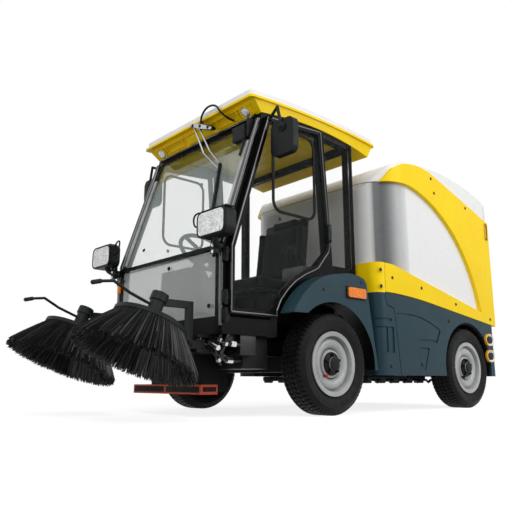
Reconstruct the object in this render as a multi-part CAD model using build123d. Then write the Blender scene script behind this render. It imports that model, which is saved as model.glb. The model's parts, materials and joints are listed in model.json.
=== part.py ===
"""Compact electric road sweeper with a glazed cab, a tipping hopper and two front brushes.

Millimetres, Z up, nose towards -Y, the vehicle's left on +X. Stations run back from the
front axle while the pieces are drawn; place() moves them so the box is centred on Y.
"""
import os
from math import cos, radians, sin

from build123d import *

# Overall plan
BODY_W = 1482
WHEELBASE = 1604
REAR_OVERHANG = 456

# Running gear
TYRE_D = 616
TYRE_W = 186
TYRE_INSET = 3
RIM_D = 391
BEAD_D = 360
KINGPIN_INSET = 60
SPINDLE_R = 28
PIN_PLAY = 0.5
ARCH_GAP = 78
REAR_ARCH_GAP = 42

# Chassis
RAIL_IN = 250
RAIL_T = 80
RAIL_RISE = 52
RAIL_H = 100
BEAM_T = 60
OUTRIGGER_T = 36
TOW_T = 20
TOW_R = 13
TOW_REACH = 20
TOW_DROP = 60

# Cab
CAB_INSET = 157
CAB_FRONT = -765
CROSSBAR_H = 494
SCREEN_TOP_Y = -463
SCREEN_H = 908
PILLAR_W = 66
PILLAR_D = 44
PANE_T = 8
TUNNEL_X = 380
FLOOR_T = 40
SHELF_T = 30
DOOR_GAP = 6
DOOR_T = 25
DOOR_EDGE = 34
HINGE_PIN_R = 5
HINGE_H = 26
VENT_Y = -404
VENT_W = 392
VENT_H = 576
VENT_DROP = 67
ROOF_EAVES = 31
ROOF_FRONT = -583
ROOF_REAR = 662
ROOF_TUCK = 50
ROOF_DRAFT = 43
ROOF_RISE = 50
ROOF_FALL = 24
ROOF_BOW = 25
ROOF_LIP_H = 63
ROOF_LIP = 16
ROOF_CAP_H = 49
MIRROR_W = 194
MIRROR_H = 226
MIRROR_T = 46
LAMP_W = 250
LAMP_H = 154
LAMP_D = 70
LAMP_REACH = 115
LAMP_SET = 45
LAMP_RISE = 28

# Fenders
FENDER_W = 119
FENDER_T = 22

# Rear body
BODY_GAP = 38
BODY_FRONT_R = 80
BODY_REAR_R = 60
SKIRT_T = 23
RELIEF_T = 8
SKIRT_DROP = 117
BAND_RISE = 338
CORNER_W = 221
SEAM = 80
SEAM_GAP = 6

# Hopper
BAND_T = 29
HOPPER_OVERHANG = 25
NOSE_SET = 127
HOPPER_NOSE_R = 230
HOPPER_RISE = 230
HOPPER_H = 1176
HOPPER_WALL = 20
SHELF_H = 202
TIP_REACH = 30
TIP_DROP = 62
TIP_PIN_R = 12
TIP_EAR_R = 26
TIP_EAR_T = 25
GATE_T = 23
GATE_GAP = 5
GATE_BARREL_R = 14
GATE_PIN_R = 7
GATE_DROP = 96

# Brush gear
BRUSH_X = 433
BRUSH_REACH = 458
BRUSH_DROP = 100
BRUSH_R = 346
BRUSH_PLATE_R = 199
BRUSH_H = 218
BRUSH_TILT = 23
SWING_REACH = 55
SWING_PIN_R = 16
LIFT_REACH = 115
LIFT_RISE = 40
LIFT_PIN_R = 9
ARM_T = 28
ARM_D = 40
ARM_H = 240
MOTOR_R = 40
MOTOR_H = 102
MOTOR_CAP_R = 48
MOTOR_CAP_H = 45
SPRAY_R = 8
TUFTS = 56
TUFT_GAP = 12
TUFT_H = 120
MOUTH_X = 366
MOUTH_SET = 27
MOUTH_Z = 129
MOUTH_H = 55
MOUTH_L = 121
MOUTH_WALL = 16
DUCT_X = 230
DUCT_L = 187
DUCT_WALL = 20

# Round pieces grow up from their lower end
LOW = (Align.CENTER, Align.CENTER, Align.MIN)

# Derived places
HUB_Z = TYRE_D / 2
BODY_X = BODY_W / 2
WHEEL_X = BODY_X - TYRE_INSET - TYRE_W / 2
KINGPIN_X = WHEEL_X - KINGPIN_INSET
ARCH_R = TYRE_D / 2 + ARCH_GAP
ARCH_Z = HUB_Z - 11
ARCH_TOP = ARCH_Z + ARCH_R
REAR_ARCH_R = TYRE_D / 2 + REAR_ARCH_GAP
RAIL_OUT = RAIL_IN + RAIL_T
RAIL_Z0 = HUB_Z + RAIL_RISE
RAIL_Z1 = RAIL_Z0 + RAIL_H
RAIL_FRONT = CAB_FRONT + 65
BODY_FRONT = ARCH_R + 69
BODY_REAR = WHEELBASE + REAR_OVERHANG
FRAME_REAR = BODY_REAR - SKIRT_T
CAB_X = BODY_X - CAB_INSET
CROSSBAR_Z = RAIL_Z1 + CROSSBAR_H
SCREEN_TOP_Z = CROSSBAR_Z + SCREEN_H
ROOF_W = 2 * (CAB_X + ROOF_EAVES)
CAB_REAR = BODY_FRONT - BODY_GAP
TOE_Y = -TYRE_D / 2 - 37
SHELF_Z = TYRE_D + 74
FENDER_IN = BODY_X - FENDER_W
DOOR_X0 = CAB_X + DOOR_GAP
DOOR_X1 = DOOR_X0 + DOOR_T
HINGE_X = DOOR_X0 + DOOR_T * 0.6
HINGE_Y = CAB_FRONT + 13
ROOF_LIP_Z = SCREEN_TOP_Z + ROOF_LIP_H
SEAM_Y = BODY_FRONT + SEAM
SKIRT_Z0 = RAIL_Z0 - SKIRT_DROP
BAND_Z = RAIL_Z1 + BAND_RISE
SHELF_TOP = BAND_Z + SHELF_H
CORNER_X = BODY_X - CORNER_W
HOPPER_X = BODY_X - BAND_T
HOPPER_NOSE = BODY_FRONT + NOSE_SET
NOSE_BACK = HOPPER_NOSE + HOPPER_NOSE_R
HOPPER_REAR = BODY_REAR + HOPPER_OVERHANG
HOPPER_FLOOR = RAIL_Z1 + HOPPER_RISE
HOPPER_TOP = HOPPER_FLOOR + HOPPER_H
TIP_X = RAIL_OUT + 40
TIP_Y = BODY_REAR + TIP_REACH
TIP_Z = HOPPER_FLOOR - TIP_DROP
TOW_Y = BODY_REAR + TOW_REACH
TOW_Z = RAIL_Z1 - TOW_DROP
GATE_Y = HOPPER_REAR + GATE_GAP
GATE_HINGE_Y = GATE_Y + GATE_T / 2
GATE_HINGE_Z = HOPPER_TOP - GATE_DROP
BRUSH_Y = CAB_FRONT - BRUSH_REACH
SWING_Y = CAB_FRONT - SWING_REACH
LIFT_Y = CAB_FRONT - LIFT_REACH
LIFT_Z = RAIL_Z0 + LIFT_RISE
BRUSH_Z = LIFT_Z - BRUSH_DROP
MOUTH_Y = CAB_FRONT + MOUTH_SET
MOUTH_TOP = MOUTH_Z + MOUTH_H
MOUTH_REAR = MOUTH_Y + MOUTH_L
NOSE_END = BRUSH_Y - BRUSH_R * cos(radians(BRUSH_TILT))
TAIL_END = GATE_HINGE_Y + GATE_BARREL_R
MID_STATION = (NOSE_END + TAIL_END) / 2


def place(shape):
    """Move a shape from stations behind the front axle to the part's own frame."""
    return Pos(0, -MID_STATION, 0) * shape


def block(x0, x1, y0, y1, z0, z1):
    """Rectangular block between two corners."""
    centre = Pos((x0 + x1) / 2, (y0 + y1) / 2, (z0 + z1) / 2)
    return centre * Box(x1 - x0, y1 - y0, z1 - z0)


def other(shape):
    """The same shape on the right-hand side."""
    return mirror(shape, Plane.YZ)


def both(shape):
    """The shape on the left and its twin on the right."""
    return shape + other(shape)


def prism_x(outline, x0, x1):
    """Prism along X over a closed outline of stations and heights."""
    face = make_face(Plane.YZ * outline)
    return Pos(x0, 0, 0) * extrude(face, amount=x1 - x0, dir=(1, 0, 0))


def poly_x(points, x0, x1):
    """Prism along X over a closed polygon of stations and heights."""
    return prism_x(Polyline(*points, close=True), x0, x1)


def bar(start, end, width, depth):
    """Rectangular bar from one point to another, width across X."""
    run = Vector(end) - Vector(start)
    section = Plane(origin=start, x_dir=(1, 0, 0), z_dir=run) * Rectangle(width, depth)
    return extrude(section, amount=run.length, dir=run.normalized())


def rod(start, end, radius):
    """Round bar from one point to another."""
    run = Vector(end) - Vector(start)
    return extrude(Plane(origin=start, z_dir=run) * Circle(radius), amount=run.length)


def pin_x(x, y, z, radius, length):
    """Cylinder along X from its left-hand start."""
    return Pos(x, y, z) * Rot(0, 90, 0) * Cylinder(radius, length, align=LOW)


def below_arch(y0, z0, y1, z1, rise):
    """Everything below an arch between two stations, level ahead of it."""
    ahead = y0 - 600
    line = ThreePointArc((y0, z0), ((y0 + y1) / 2, (z0 + z1) / 2 + rise), (y1, z1))
    line += Polyline((y1, z1), (y1, 0), (ahead, 0), (ahead, z0), (y0, z0))
    return prism_x(line, -BODY_W, BODY_W)


# Running gear


def tyre():
    """Tyre about the X axis, centred on its own middle plane."""
    half = TYRE_W / 2
    tread = TYRE_D / 2
    bead = BEAD_D / 2
    line = Line((-half + 19, bead), (-half + 19, RIM_D / 2 + 2))
    line += ThreePointArc((-half + 19, RIM_D / 2 + 2), (-half, tread - 62), (-half + 13, tread - 14))
    line += ThreePointArc((-half + 13, tread - 14), (-half + 19, tread - 4), (-half + 30, tread))
    line += Line((-half + 30, tread), (half - 30, tread))
    line += ThreePointArc((half - 30, tread), (half - 19, tread - 4), (half - 13, tread - 14))
    line += ThreePointArc((half - 13, tread - 14), (half, tread - 62), (half - 19, RIM_D / 2 + 2))
    line += Line((half - 19, RIM_D / 2 + 2), (half - 19, bead))
    line += Line((half - 19, bead), (-half + 19, bead))
    return revolve(make_face(Plane.XZ * line), axis=Axis.X)


def rim():
    """Dished rim with its hub about the X axis, the outer face towards +X."""
    half = TYRE_W / 2
    bead = BEAD_D / 2
    flange = RIM_D / 2
    outline = (
        (-half + 10, flange), (-half + 18, flange), (-half + 18, bead), (half - 18, bead),
        (half - 18, flange), (half - 10, flange), (half - 12, bead - 12), (52, bead - 16),
        (30, bead - 30), (22, 110), (34, 92), (56, 84), (58, 46), (84, 42), (86, 0),
        (38, 0), (38, SPINDLE_R + PIN_PLAY), (-8, SPINDLE_R + PIN_PLAY), (-8, 68),
        (8, 72), (8, 110), (14, bead - 26), (0, bead - 12), (-half + 12, bead - 12),
    )
    face = make_face(Plane.XZ * Polyline(*outline, close=True))
    return revolve(face, axis=Axis.X)


def wheel_place(side, station):
    """Seat of a wheel: side +1 is the left, the right one is turned about."""
    seat = Pos(side * WHEEL_X, station, HUB_Z)
    return seat if side > 0 else seat * Rot(0, 0, 180)


def chassis_rails():
    """Two rails with the hopper's hinge ears at their back ends."""
    rail = block(RAIL_IN, RAIL_OUT, RAIL_FRONT, FRAME_REAR, RAIL_Z0, RAIL_Z1)
    ear = block(TIP_X, TIP_X + TIP_EAR_T, FRAME_REAR - 77, TIP_Y, RAIL_Z1 - 20, TIP_Z + TIP_EAR_R)
    ear += block(RAIL_OUT, TIP_X + TIP_EAR_T, FRAME_REAR - 77, FRAME_REAR, RAIL_Z0 + 20, RAIL_Z1 - 20)
    ear += pin_x(TIP_X, TIP_Y, TIP_Z, TIP_EAR_R, TIP_EAR_T)
    ear -= block(TIP_X - 5, TIP_X + TIP_EAR_T + 5, FRAME_REAR, TIP_Y + 40, RAIL_Z0, TIP_Z - TIP_EAR_R)
    ear -= pin_x(TIP_X - 10, TIP_Y, TIP_Z, TIP_PIN_R + PIN_PLAY, TIP_EAR_T + 20)
    return both(rail + ear)


def cross_members():
    """Beams between the rails and outriggers to the skirts."""
    parts = Part()
    for y in (TOE_Y - 55, BODY_FRONT + 105, WHEELBASE - 184, FRAME_REAR - BEAM_T):
        parts += block(-RAIL_IN, RAIL_IN, y, y + BEAM_T, RAIL_Z0 + 10, RAIL_Z1 - 10)
    for y in (BODY_FRONT + 145, WHEELBASE - 454, FRAME_REAR - 87 - OUTRIGGER_T):
        parts += both(block(RAIL_OUT, BODY_X - SKIRT_T, y, y + OUTRIGGER_T, RAIL_Z0 + 20, RAIL_Z1 - 20))
    return parts


def tow_eye():
    """Plate with the tow pin's hole behind the last beam."""
    eye = block(-40, 40, FRAME_REAR, TOW_Y, TOW_Z, TOW_Z + TOW_T)
    eye += Pos(0, TOW_Y, TOW_Z) * Cylinder(32, TOW_T, align=LOW)
    return eye - Pos(0, TOW_Y, TOW_Z - 5) * Cylinder(TOW_R, TOW_T + 10, align=LOW)


def front_axle():
    """Beam under the rails with a fork for each kingpin."""
    end = KINGPIN_X - 45
    beam = block(-end, end, -45, 45, HUB_Z - 46, RAIL_Z0)
    fork = block(end - 22, end, -38, 38, HUB_Z - 90, HUB_Z + 90)
    for z0 in (HUB_Z - 90, HUB_Z + 66):
        fork += block(end, KINGPIN_X + 27, -35, 35, z0, z0 + 24)
    fork -= Pos(KINGPIN_X, 0, HUB_Z - 120) * Cylinder(20 + PIN_PLAY, 240, align=LOW)
    return beam + both(fork)


def knuckle():
    """Left steering knuckle: kingpin, block and stub axle."""
    part = Pos(KINGPIN_X, 0, HUB_Z - 96) * Cylinder(20, 192, align=LOW)
    part += block(KINGPIN_X - 18, KINGPIN_X + 34, -34, 34, HUB_Z - 54, HUB_Z + 54)
    part += rod((KINGPIN_X + 20, 0, HUB_Z), (WHEEL_X + 34, 0, HUB_Z), SPINDLE_R)
    return part


def rear_axle():
    """Driven beam with its gear housing and stub axles."""
    inner = WHEEL_X - 100
    axle = block(-inner, inner, WHEELBASE - 50, WHEELBASE + 50, HUB_Z - 46, RAIL_Z0)
    axle += Pos(0, WHEELBASE, HUB_Z) * Rot(90, 0, 0) * Cylinder(110, 190)
    axle += both(rod((inner - 5, WHEELBASE, HUB_Z), (WHEEL_X - 16, WHEELBASE, HUB_Z), 60))
    axle += both(rod((inner, WHEELBASE, HUB_Z), (WHEEL_X + 34, WHEELBASE, HUB_Z), SPINDLE_R))
    return axle


def battery_pack():
    """Battery case between the rails."""
    return block(-RAIL_IN, RAIL_IN, BODY_FRONT + 245, WHEELBASE - 224, RAIL_Z0 - 60, HOPPER_FLOOR - 40)


# Cab


def door_outline():
    """Stations and heights round the door, clear of the fender behind it."""
    toe = CAB_FRONT + 30
    top = ARCH_TOP
    return (
        (toe, RAIL_Z1 + 110), (toe, CROSSBAR_Z), (SCREEN_TOP_Y + 21, SCREEN_TOP_Z - 26),
        (56, SCREEN_TOP_Z + 14), (125, top + 397), (110, top + 347), (0, top + 219),
        (TOE_Y + 285, top + 191), (TOE_Y + 225, top + 165), (TOE_Y + 140, top + 115),
        (TOE_Y + 70, top + 55), (TOE_Y + 10, top - 13), (TOE_Y - 40, top - 83), (TOE_Y - 40, RAIL_Z1 + 110),
    )


def side_panel():
    """Stations and heights of the fixed panel behind and under the door opening."""
    top = ARCH_TOP
    return (
        (TOE_Y - 60, RAIL_Z1), (TOE_Y - 60, top - 83), (TOE_Y - 10, top - 3), (TOE_Y + 55, top + 72),
        (TOE_Y + 130, top + 135), (TOE_Y + 225, top + 189), (TOE_Y + 295, top + 217),
        (95, top + 357), (140, top + 397),
        (140, CROSSBAR_Z + 6), (CAB_REAR, CROSSBAR_Z + 6), (CAB_REAR, SHELF_Z), (TOE_Y, SHELF_Z),
        (TOE_Y, RAIL_Z1),
    )


def under_roof(drop):
    """Everything below the roof's arched foot, lowered by the drop."""
    head = SCREEN_TOP_Z - drop
    return below_arch(SCREEN_TOP_Y, head, ROOF_REAR, head - ROOF_FALL, ROOF_RISE)


def screen_plane():
    """Front face of the windscreen pillars, from the crossbar up, and the pillars' rise."""
    up = Vector(0, SCREEN_TOP_Y - CAB_FRONT, SCREEN_TOP_Z - CROSSBAR_Z)
    foot = (0, CAB_FRONT + PILLAR_D / 2 * (1 - up.length / up.Z), CROSSBAR_Z)
    return Plane(origin=foot, x_dir=(1, 0, 0), z_dir=(0, -up.Z, up.Y)), up.length


def cab_floor():
    """Floor, tunnel, shelf over the wheels and the panels round them."""
    x = CAB_X
    cab = block(-x, x, CAB_FRONT, TOE_Y, RAIL_Z1, RAIL_Z1 + FLOOR_T)
    cab += block(-x, x, TOE_Y, CAB_REAR, SHELF_Z, SHELF_Z + SHELF_T)
    cab += block(-TUNNEL_X, TUNNEL_X, TOE_Y - 40, CAB_REAR, RAIL_Z1, SHELF_Z + 10)
    cab += block(-x, x, TOE_Y - 40, TOE_Y, RAIL_Z1, SHELF_Z + SHELF_T)
    cab += block(-x, x, CAB_REAR - 30, CAB_REAR, SHELF_Z, CROSSBAR_Z + 6)
    cab += both(poly_x(side_panel(), x - 24, x))
    cab += both(block(x - 60, x, CAB_FRONT, TOE_Y - 40, RAIL_Z1, RAIL_Z1 + 96))
    return cab + block(-x + 30, x - 30, CAB_FRONT, CAB_FRONT + 40, RAIL_Z1, RAIL_Z1 + 100)


def cab_body():
    """Black cab frame on the floor: posts, pillars, crossbar, roof rails and door hinges."""
    x = CAB_X
    pane, rise = screen_plane()
    cab = block(-x + 30, x - 30, CAB_FRONT - 14, CAB_FRONT + 40, CROSSBAR_Z - 12, CROSSBAR_Z + 12)
    cab += both(block(x - PILLAR_W, x, CAB_FRONT, CAB_FRONT + 45, RAIL_Z1, CROSSBAR_Z + 12))
    pillar = Pos(x - PILLAR_W / 2, rise / 2 + 19, -PILLAR_D / 2) * Box(PILLAR_W, rise + 30, PILLAR_D)
    header = Pos(0, rise - 20, -20) * Box(2 * (x - 30), 60, 40)
    cab += pane * (both(pillar) + header)
    cab += both(bar((x - 27, 150, SHELF_Z + 240), (x - 27, 82, SCREEN_TOP_Z + 60), 54, 54))
    cab += both(block(x - 54, x, CAB_REAR - 47, CAB_REAR, SHELF_Z, SCREEN_TOP_Z + 60))
    rail = both(block(x - 60, x - 4, SCREEN_TOP_Y + 20, CAB_REAR, CROSSBAR_Z, SCREEN_TOP_Z + 60))
    rail += block(-x + 40, x - 40, CAB_REAR - 40, CAB_REAR, CROSSBAR_Z, SCREEN_TOP_Z + 60)
    cab += rail - under_roof(46)
    cab &= under_roof(0) & block(-x, x, CAB_FRONT - 40, CAB_REAR, RAIL_Z1, SCREEN_TOP_Z + 100)
    cab -= cab_floor()
    for z0 in (RAIL_Z1 + 160, CROSSBAR_Z - 74):
        leaf = block(x - 10, HINGE_X, HINGE_Y - 6, HINGE_Y + 6, z0, z0 + HINGE_H)
        leaf += Pos(HINGE_X, HINGE_Y, z0) * Cylinder(11, HINGE_H, align=LOW)
        cab += both(leaf + Pos(HINGE_X, HINGE_Y, z0) * Cylinder(HINGE_PIN_R, 2 * HINGE_H + 2, align=LOW))
    return cab


def cab_glass():
    """Windscreen, lower front pane, rear window and the two quarter windows."""
    x = CAB_X
    pane, rise = screen_plane()
    edge = x - 44
    screen = pane * Pos(0, (rise + 14) / 2, PANE_T / 2) * Box(2 * edge, rise - 22, PANE_T)
    lower = block(-edge - 4, edge + 4, CAB_FRONT - PANE_T, CAB_FRONT, RAIL_Z1 + 92, CROSSBAR_Z - 13)
    rear = block(-x + 30, x - 30, CAB_REAR, CAB_REAR + PANE_T, CROSSBAR_Z - 24, SCREEN_TOP_Z - 12)
    back = CAB_REAR - 8
    top = ARCH_TOP
    quarter = (
        (75, SCREEN_TOP_Z + 16), (142, top + 397), (142, CROSSBAR_Z - 9),
        (back, CROSSBAR_Z - 9), (back, SCREEN_TOP_Z - 4),
    )
    return screen + lower + rear + both(poly_x(quarter, x, x + PANE_T))


def lip_arch(z):
    """Everything below the arch of the roof's lip at a height, run on past its ends."""
    past = 60
    fall = ROOF_BOW * 0.2
    return below_arch(ROOF_FRONT - past, z - fall, ROOF_REAR + past, z - fall, ROOF_BOW + fall)


def roof_plan(inset, radius):
    """Rounded plan of the roof, moved in by an inset."""
    mid = (ROOF_REAR + ROOF_FRONT) / 2
    length = ROOF_REAR - ROOF_FRONT
    return Pos(0, mid, 0) * RectangleRounded(ROOF_W - 2 * inset, length - 2 * inset, radius)


def roof_shell():
    """Flared roof with a thin arched lip, its foot on the cab's rails."""
    foot_z = SCREEN_TOP_Z - ROOF_FALL - 6
    front = SCREEN_TOP_Y + 30
    back = ROOF_REAR - ROOF_TUCK
    foot = Pos(0, (front + back) / 2, foot_z) * Rectangle(ROOF_W - 2 * ROOF_DRAFT, back - front)
    half_lip = ROOF_LIP_Z + ROOF_LIP / 2
    head = Pos(0, (ROOF_REAR + ROOF_FRONT) / 2, half_lip + ROOF_BOW + 2)
    skin = loft([foot, head * Rectangle(ROOF_W - 14, ROOF_REAR - ROOF_FRONT - 14)], ruled=True)
    skin = (skin & lip_arch(half_lip)) - under_roof(0)
    lip = extrude(roof_plan(0, 26), amount=2 * ROOF_LIP_Z)
    return skin + (lip & (lip_arch(ROOF_LIP_Z + ROOF_LIP) - lip_arch(ROOF_LIP_Z)))


def roof_cap():
    """Low cap over the roof with an upright rounded edge."""
    foot_z = ROOF_LIP_Z + ROOF_LIP
    cap = extrude(roof_plan(12, 34), amount=2 * ROOF_LIP_Z)
    cap &= lip_arch(foot_z + ROOF_CAP_H) - lip_arch(foot_z)
    top = cap.faces().sort_by(Axis.Z)[-1]
    return fillet(top.edges(), ROOF_CAP_H * 0.4)


def door_frame():
    """Left door: rim of the outline, hinge barrels and the lock block."""
    face = make_face(Plane.YZ * Polyline(*door_outline(), close=True))
    hole = offset(face, amount=-DOOR_EDGE, kind=Kind.INTERSECTION)
    door = Pos(DOOR_X0, 0, 0) * extrude(face, amount=DOOR_T, dir=(1, 0, 0))
    door -= Pos(DOOR_X0 - 5, 0, 0) * extrude(hole, amount=DOOR_T + 10, dir=(1, 0, 0))
    for z0 in (RAIL_Z1 + 164 + HINGE_H, CROSSBAR_Z - 70 + HINGE_H):
        leaf = block(HINGE_X - 6, HINGE_X + 6, HINGE_Y, CAB_FRONT + 35, z0, z0 + HINGE_H)
        door += leaf + Pos(HINGE_X, HINGE_Y, z0) * Cylinder(11, HINGE_H, align=LOW)
        door -= Pos(HINGE_X, HINGE_Y, z0 - 5) * Cylinder(HINGE_PIN_R + PIN_PLAY, HINGE_H + 10, align=LOW)
    lock_z = ARCH_TOP + 417
    door += block(DOOR_X1, DOOR_X1 + 22, 62, 112, lock_z, lock_z + 120)
    vent = Pos(VENT_Y + VENT_W / 2, SCREEN_TOP_Z - VENT_DROP - VENT_H / 2)
    ring = RectangleRounded(VENT_W, VENT_H, 80) - RectangleRounded(VENT_W - 36, VENT_H - 36, 62)
    pane_x = DOOR_X0 + 9 + PANE_T
    return door + Pos(pane_x, 0, 0) * extrude(Plane.YZ * vent * ring, amount=DOOR_X1 - pane_x, dir=(1, 0, 0))


def door_glass():
    """Pane that fills the left door."""
    face = make_face(Plane.YZ * Polyline(*door_outline(), close=True))
    hole = offset(face, amount=-DOOR_EDGE, kind=Kind.INTERSECTION)
    return Pos(DOOR_X0 + 9, 0, 0) * extrude(hole, amount=PANE_T, dir=(1, 0, 0))


def mirror_arm():
    """Left mirror on a bent arm from the top front corner of the door."""
    y = SCREEN_TOP_Y + 13
    top = SCREEN_TOP_Z
    root = (DOOR_X1 + 8, y + 22, top - 42)
    bend = (DOOR_X1 + 95, y, top - 6)
    ball = (DOOR_X1 + 128, y, top - 144)
    arm = block(DOOR_X1, DOOR_X1 + 14, y + 8, y + 36, top - 56, top - 28)
    arm += rod(root, bend, 10) + rod(bend, ball, 10) + Pos(*bend) * Sphere(10)
    x0 = DOOR_X1 + 25
    case = block(x0, x0 + MIRROR_W, y + 8, y + 8 + MIRROR_T, top - 320, top - 320 + MIRROR_H)
    case = fillet(case.edges().filter_by(Axis.Y), 44)
    return arm + Pos(*ball) * Sphere(20) + case


def dashboard():
    """Console with the steering column."""
    y = CAB_FRONT + 65
    z = RAIL_Z1 + FLOOR_T
    desk = poly_x(((y, z), (y + 140, z), (y + 180, z + 330), (y + 140, z + 400), (y + 10, z + 400)), -150, 150)
    return desk + rod((0, y + 100, z + 300), (0, y + 230, z + 510), 32)


def steering_wheel():
    """Rim, spokes and boss at the head of the column."""
    head = (0, CAB_FRONT + 295, RAIL_Z1 + FLOOR_T + 510)
    tilt = Plane(origin=head, x_dir=(1, 0, 0), z_dir=(0, 130, 210))
    ring = Pos(0, 0, 40) * Torus(185, 14)
    spokes = Pos(0, 0, 30) * Box(350, 26, 14) + Pos(0, 0, 30) * Box(26, 350, 14)
    return tilt * (ring + spokes + Cylinder(45, 44, align=LOW))


def seat():
    """Driver's seat: base, cushion and back."""
    foot = SHELF_Z + SHELF_T
    rest = CAB_REAR - 117
    chair = block(-190, 190, rest - 430, rest - 40, foot, foot + 80)
    cushion = block(-240, 240, rest - 490, rest, foot + 80, foot + 180)
    back = poly_x(
        ((rest - 95, foot + 180), (rest, foot + 180), (rest + 60, foot + 680), (rest - 15, foot + 680)),
        -230, 230,
    )
    return chair + fillet(cushion.edges().filter_by(Axis.Z), 50) + back


def fender():
    """Left front fender: hollow shell over the wheel with a foot on the cab's side."""
    top = ARCH_TOP
    tail = (ARCH_R ** 2 - 23 ** 2) ** 0.5
    nose_z = top - 83
    nose = -(ARCH_R ** 2 - (nose_z - ARCH_Z) ** 2) ** 0.5
    tip = (TOE_Y - 10, top - 86)
    line = ThreePointArc(tip, (TOE_Y + 135, top + 85), (60, top + 185))
    line += ThreePointArc((60, top + 185), (165, top + 201), (270, top + 189))
    line += ThreePointArc((270, top + 189), (315, top + 170), (332, top + 125))
    line += Line((332, top + 125), (tail + 36, ARCH_Z - 23))
    line += Line((tail + 36, ARCH_Z - 23), (tail, ARCH_Z - 23))
    line += ThreePointArc((tail, ARCH_Z - 23), (0, top), (nose, nose_z))
    line += Line((nose, nose_z), tip)
    face = make_face(Plane.YZ * line)
    core = offset(face, amount=-FENDER_T, kind=Kind.INTERSECTION)
    shell = Pos(FENDER_IN, 0, 0) * extrude(face, amount=FENDER_W, dir=(1, 0, 0))
    shell -= Pos(FENDER_IN, 0, 0) * extrude(core, amount=FENDER_W - FENDER_T, dir=(1, 0, 0))
    return shell + block(CAB_X, FENDER_IN + 30, 60, 300, top + 107, top + 157)


def fender_lamps():
    """Side indicators on the fenders."""
    z = ARCH_TOP + 45
    lamp = block(BODY_X, BODY_X + 18, 125, 300, z, z + 64)
    return both(fillet(lamp.edges().filter_by(Axis.X), 14))


def headlamp_cases():
    """Headlamp housings on stalks at the ends of the crossbar."""
    front = CAB_FRONT - LAMP_REACH
    x0 = CAB_X + LAMP_SET - LAMP_W / 2
    z0 = CROSSBAR_Z + LAMP_RISE
    case = block(x0, x0 + LAMP_W, front, front + LAMP_D, z0, z0 + LAMP_H)
    case = fillet(case.edges().filter_by(Axis.Y), 40)
    stalk = block(CAB_X - 29, CAB_X, front + 50, CAB_FRONT, CROSSBAR_Z - 38, CROSSBAR_Z + 8)
    stalk += block(CAB_X - 29, CAB_X, front + 50, front + 84, CROSSBAR_Z - 38, z0 + 5)
    return both(case + stalk)


def headlamp_lenses():
    """Front lenses of the headlamps."""
    front = CAB_FRONT - LAMP_REACH
    x0 = CAB_X + LAMP_SET - LAMP_W / 2 + 12
    z0 = CROSSBAR_Z + LAMP_RISE + 12
    lens = block(x0, x0 + LAMP_W - 24, front - 12, front, z0, z0 + LAMP_H - 24)
    return both(fillet(lens.edges().filter_by(Axis.Y), 30))


def work_lamps():
    """Round lamps at the ends of the roof's front fascia."""
    slope = Plane(
        origin=(ROOF_W / 2 - 135, SCREEN_TOP_Y - 40, SCREEN_TOP_Z + 26),
        x_dir=(1, 0, 0), z_dir=(0, -ROOF_LIP_H, SCREEN_TOP_Y - ROOF_FRONT - 204),
    )
    lamp = slope * Pos(0, 0, -12) * Cylinder(34, 24, align=LOW)
    return both(lamp - roof_shell())


def beacon():
    """Low warning lamp at the back of the roof."""
    post = Pos(ROOF_W / 2 - 235, ROOF_REAR - 220, ROOF_LIP_Z) * Cylinder(42, ROOF_CAP_H + 60, align=LOW)
    dome = fillet(post.faces().sort_by(Axis.Z)[-1].edges(), 18)
    return dome - lip_arch(ROOF_LIP_Z + ROOF_LIP + ROOF_CAP_H)


# Wiper head in front of the roof: stations across and heights below the roof's lip
WIPER_HEAD = (
    (25, -9), (70, -17), (150, -45), (215, -75), (272, -107), (262, -119), (190, -93),
    (120, -67), (60, -37), (22, -23),
)
# Wiper arms: place across, ahead of the windscreen's top and below it
WIPER_ARMS = (
    ((52, -143, 40), (150, -126, -180), (336, -137, -345)),
    ((109, -143, 20), (212, -126, -178), (330, -127, -306)),
)
# Washer hose from the wiper head to the fascia, in the same terms
WASHER_HOSE = (
    (142, -143, 25), (144, -140, 92), (172, -136, 122), (235, -134, 128), (296, -135, 96),
    (332, -132, 48), (346, -92, 20), (348, -10, 20),
)


def wiper():
    """Wiper head with two arms, the blade and the washer hose, seated on the roof's fascia."""
    pane, rise = screen_plane()
    face = PANE_T + 14
    top = Vector(0, SCREEN_TOP_Y, SCREEN_TOP_Z)
    front = SCREEN_TOP_Y - 156
    outline = Polyline(*((x, ROOF_LIP_Z + z) for x, z in WIPER_HEAD), close=True)
    gear = Pos(0, front, 0) * extrude(make_face(Plane.XZ * outline), amount=26, dir=(0, 1, 0))
    gear += rod((140, front + 10, SCREEN_TOP_Z + 20), (140, SCREEN_TOP_Y, SCREEN_TOP_Z + 28), 12)
    gear += rod((142, front + 13, SCREEN_TOP_Z + 10), (142, front + 13, SCREEN_TOP_Z + 44), 13)
    for arm in WIPER_ARMS:
        points = [top + Vector(*step) for step in arm]
        for start, end in zip(points, points[1:]):
            gear += rod(start, end, 5) + Pos(*end) * Sphere(5)
    hose = Spline(*(top + Vector(*step) for step in WASHER_HOSE))
    gear += sweep(Plane(origin=hose @ 0, z_dir=hose % 0) * Circle(7), path=hose)
    elbow = pane.from_local_coords(Vector(326, rise * 0.66, face))
    tip = pane.from_local_coords(Vector(405, rise * 0.29, face))
    return gear + bar(elbow, tip, 12, 22) - roof_shell()


# Brush gear


def brush_axis(side):
    """Plane on a brush's tip ring with its normal up the spindle."""
    tilt = radians(BRUSH_TILT)
    return Plane(origin=(side * BRUSH_X, BRUSH_Y, BRUSH_Z), x_dir=(1, 0, 0), z_dir=(0, sin(tilt), cos(tilt)))


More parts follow.
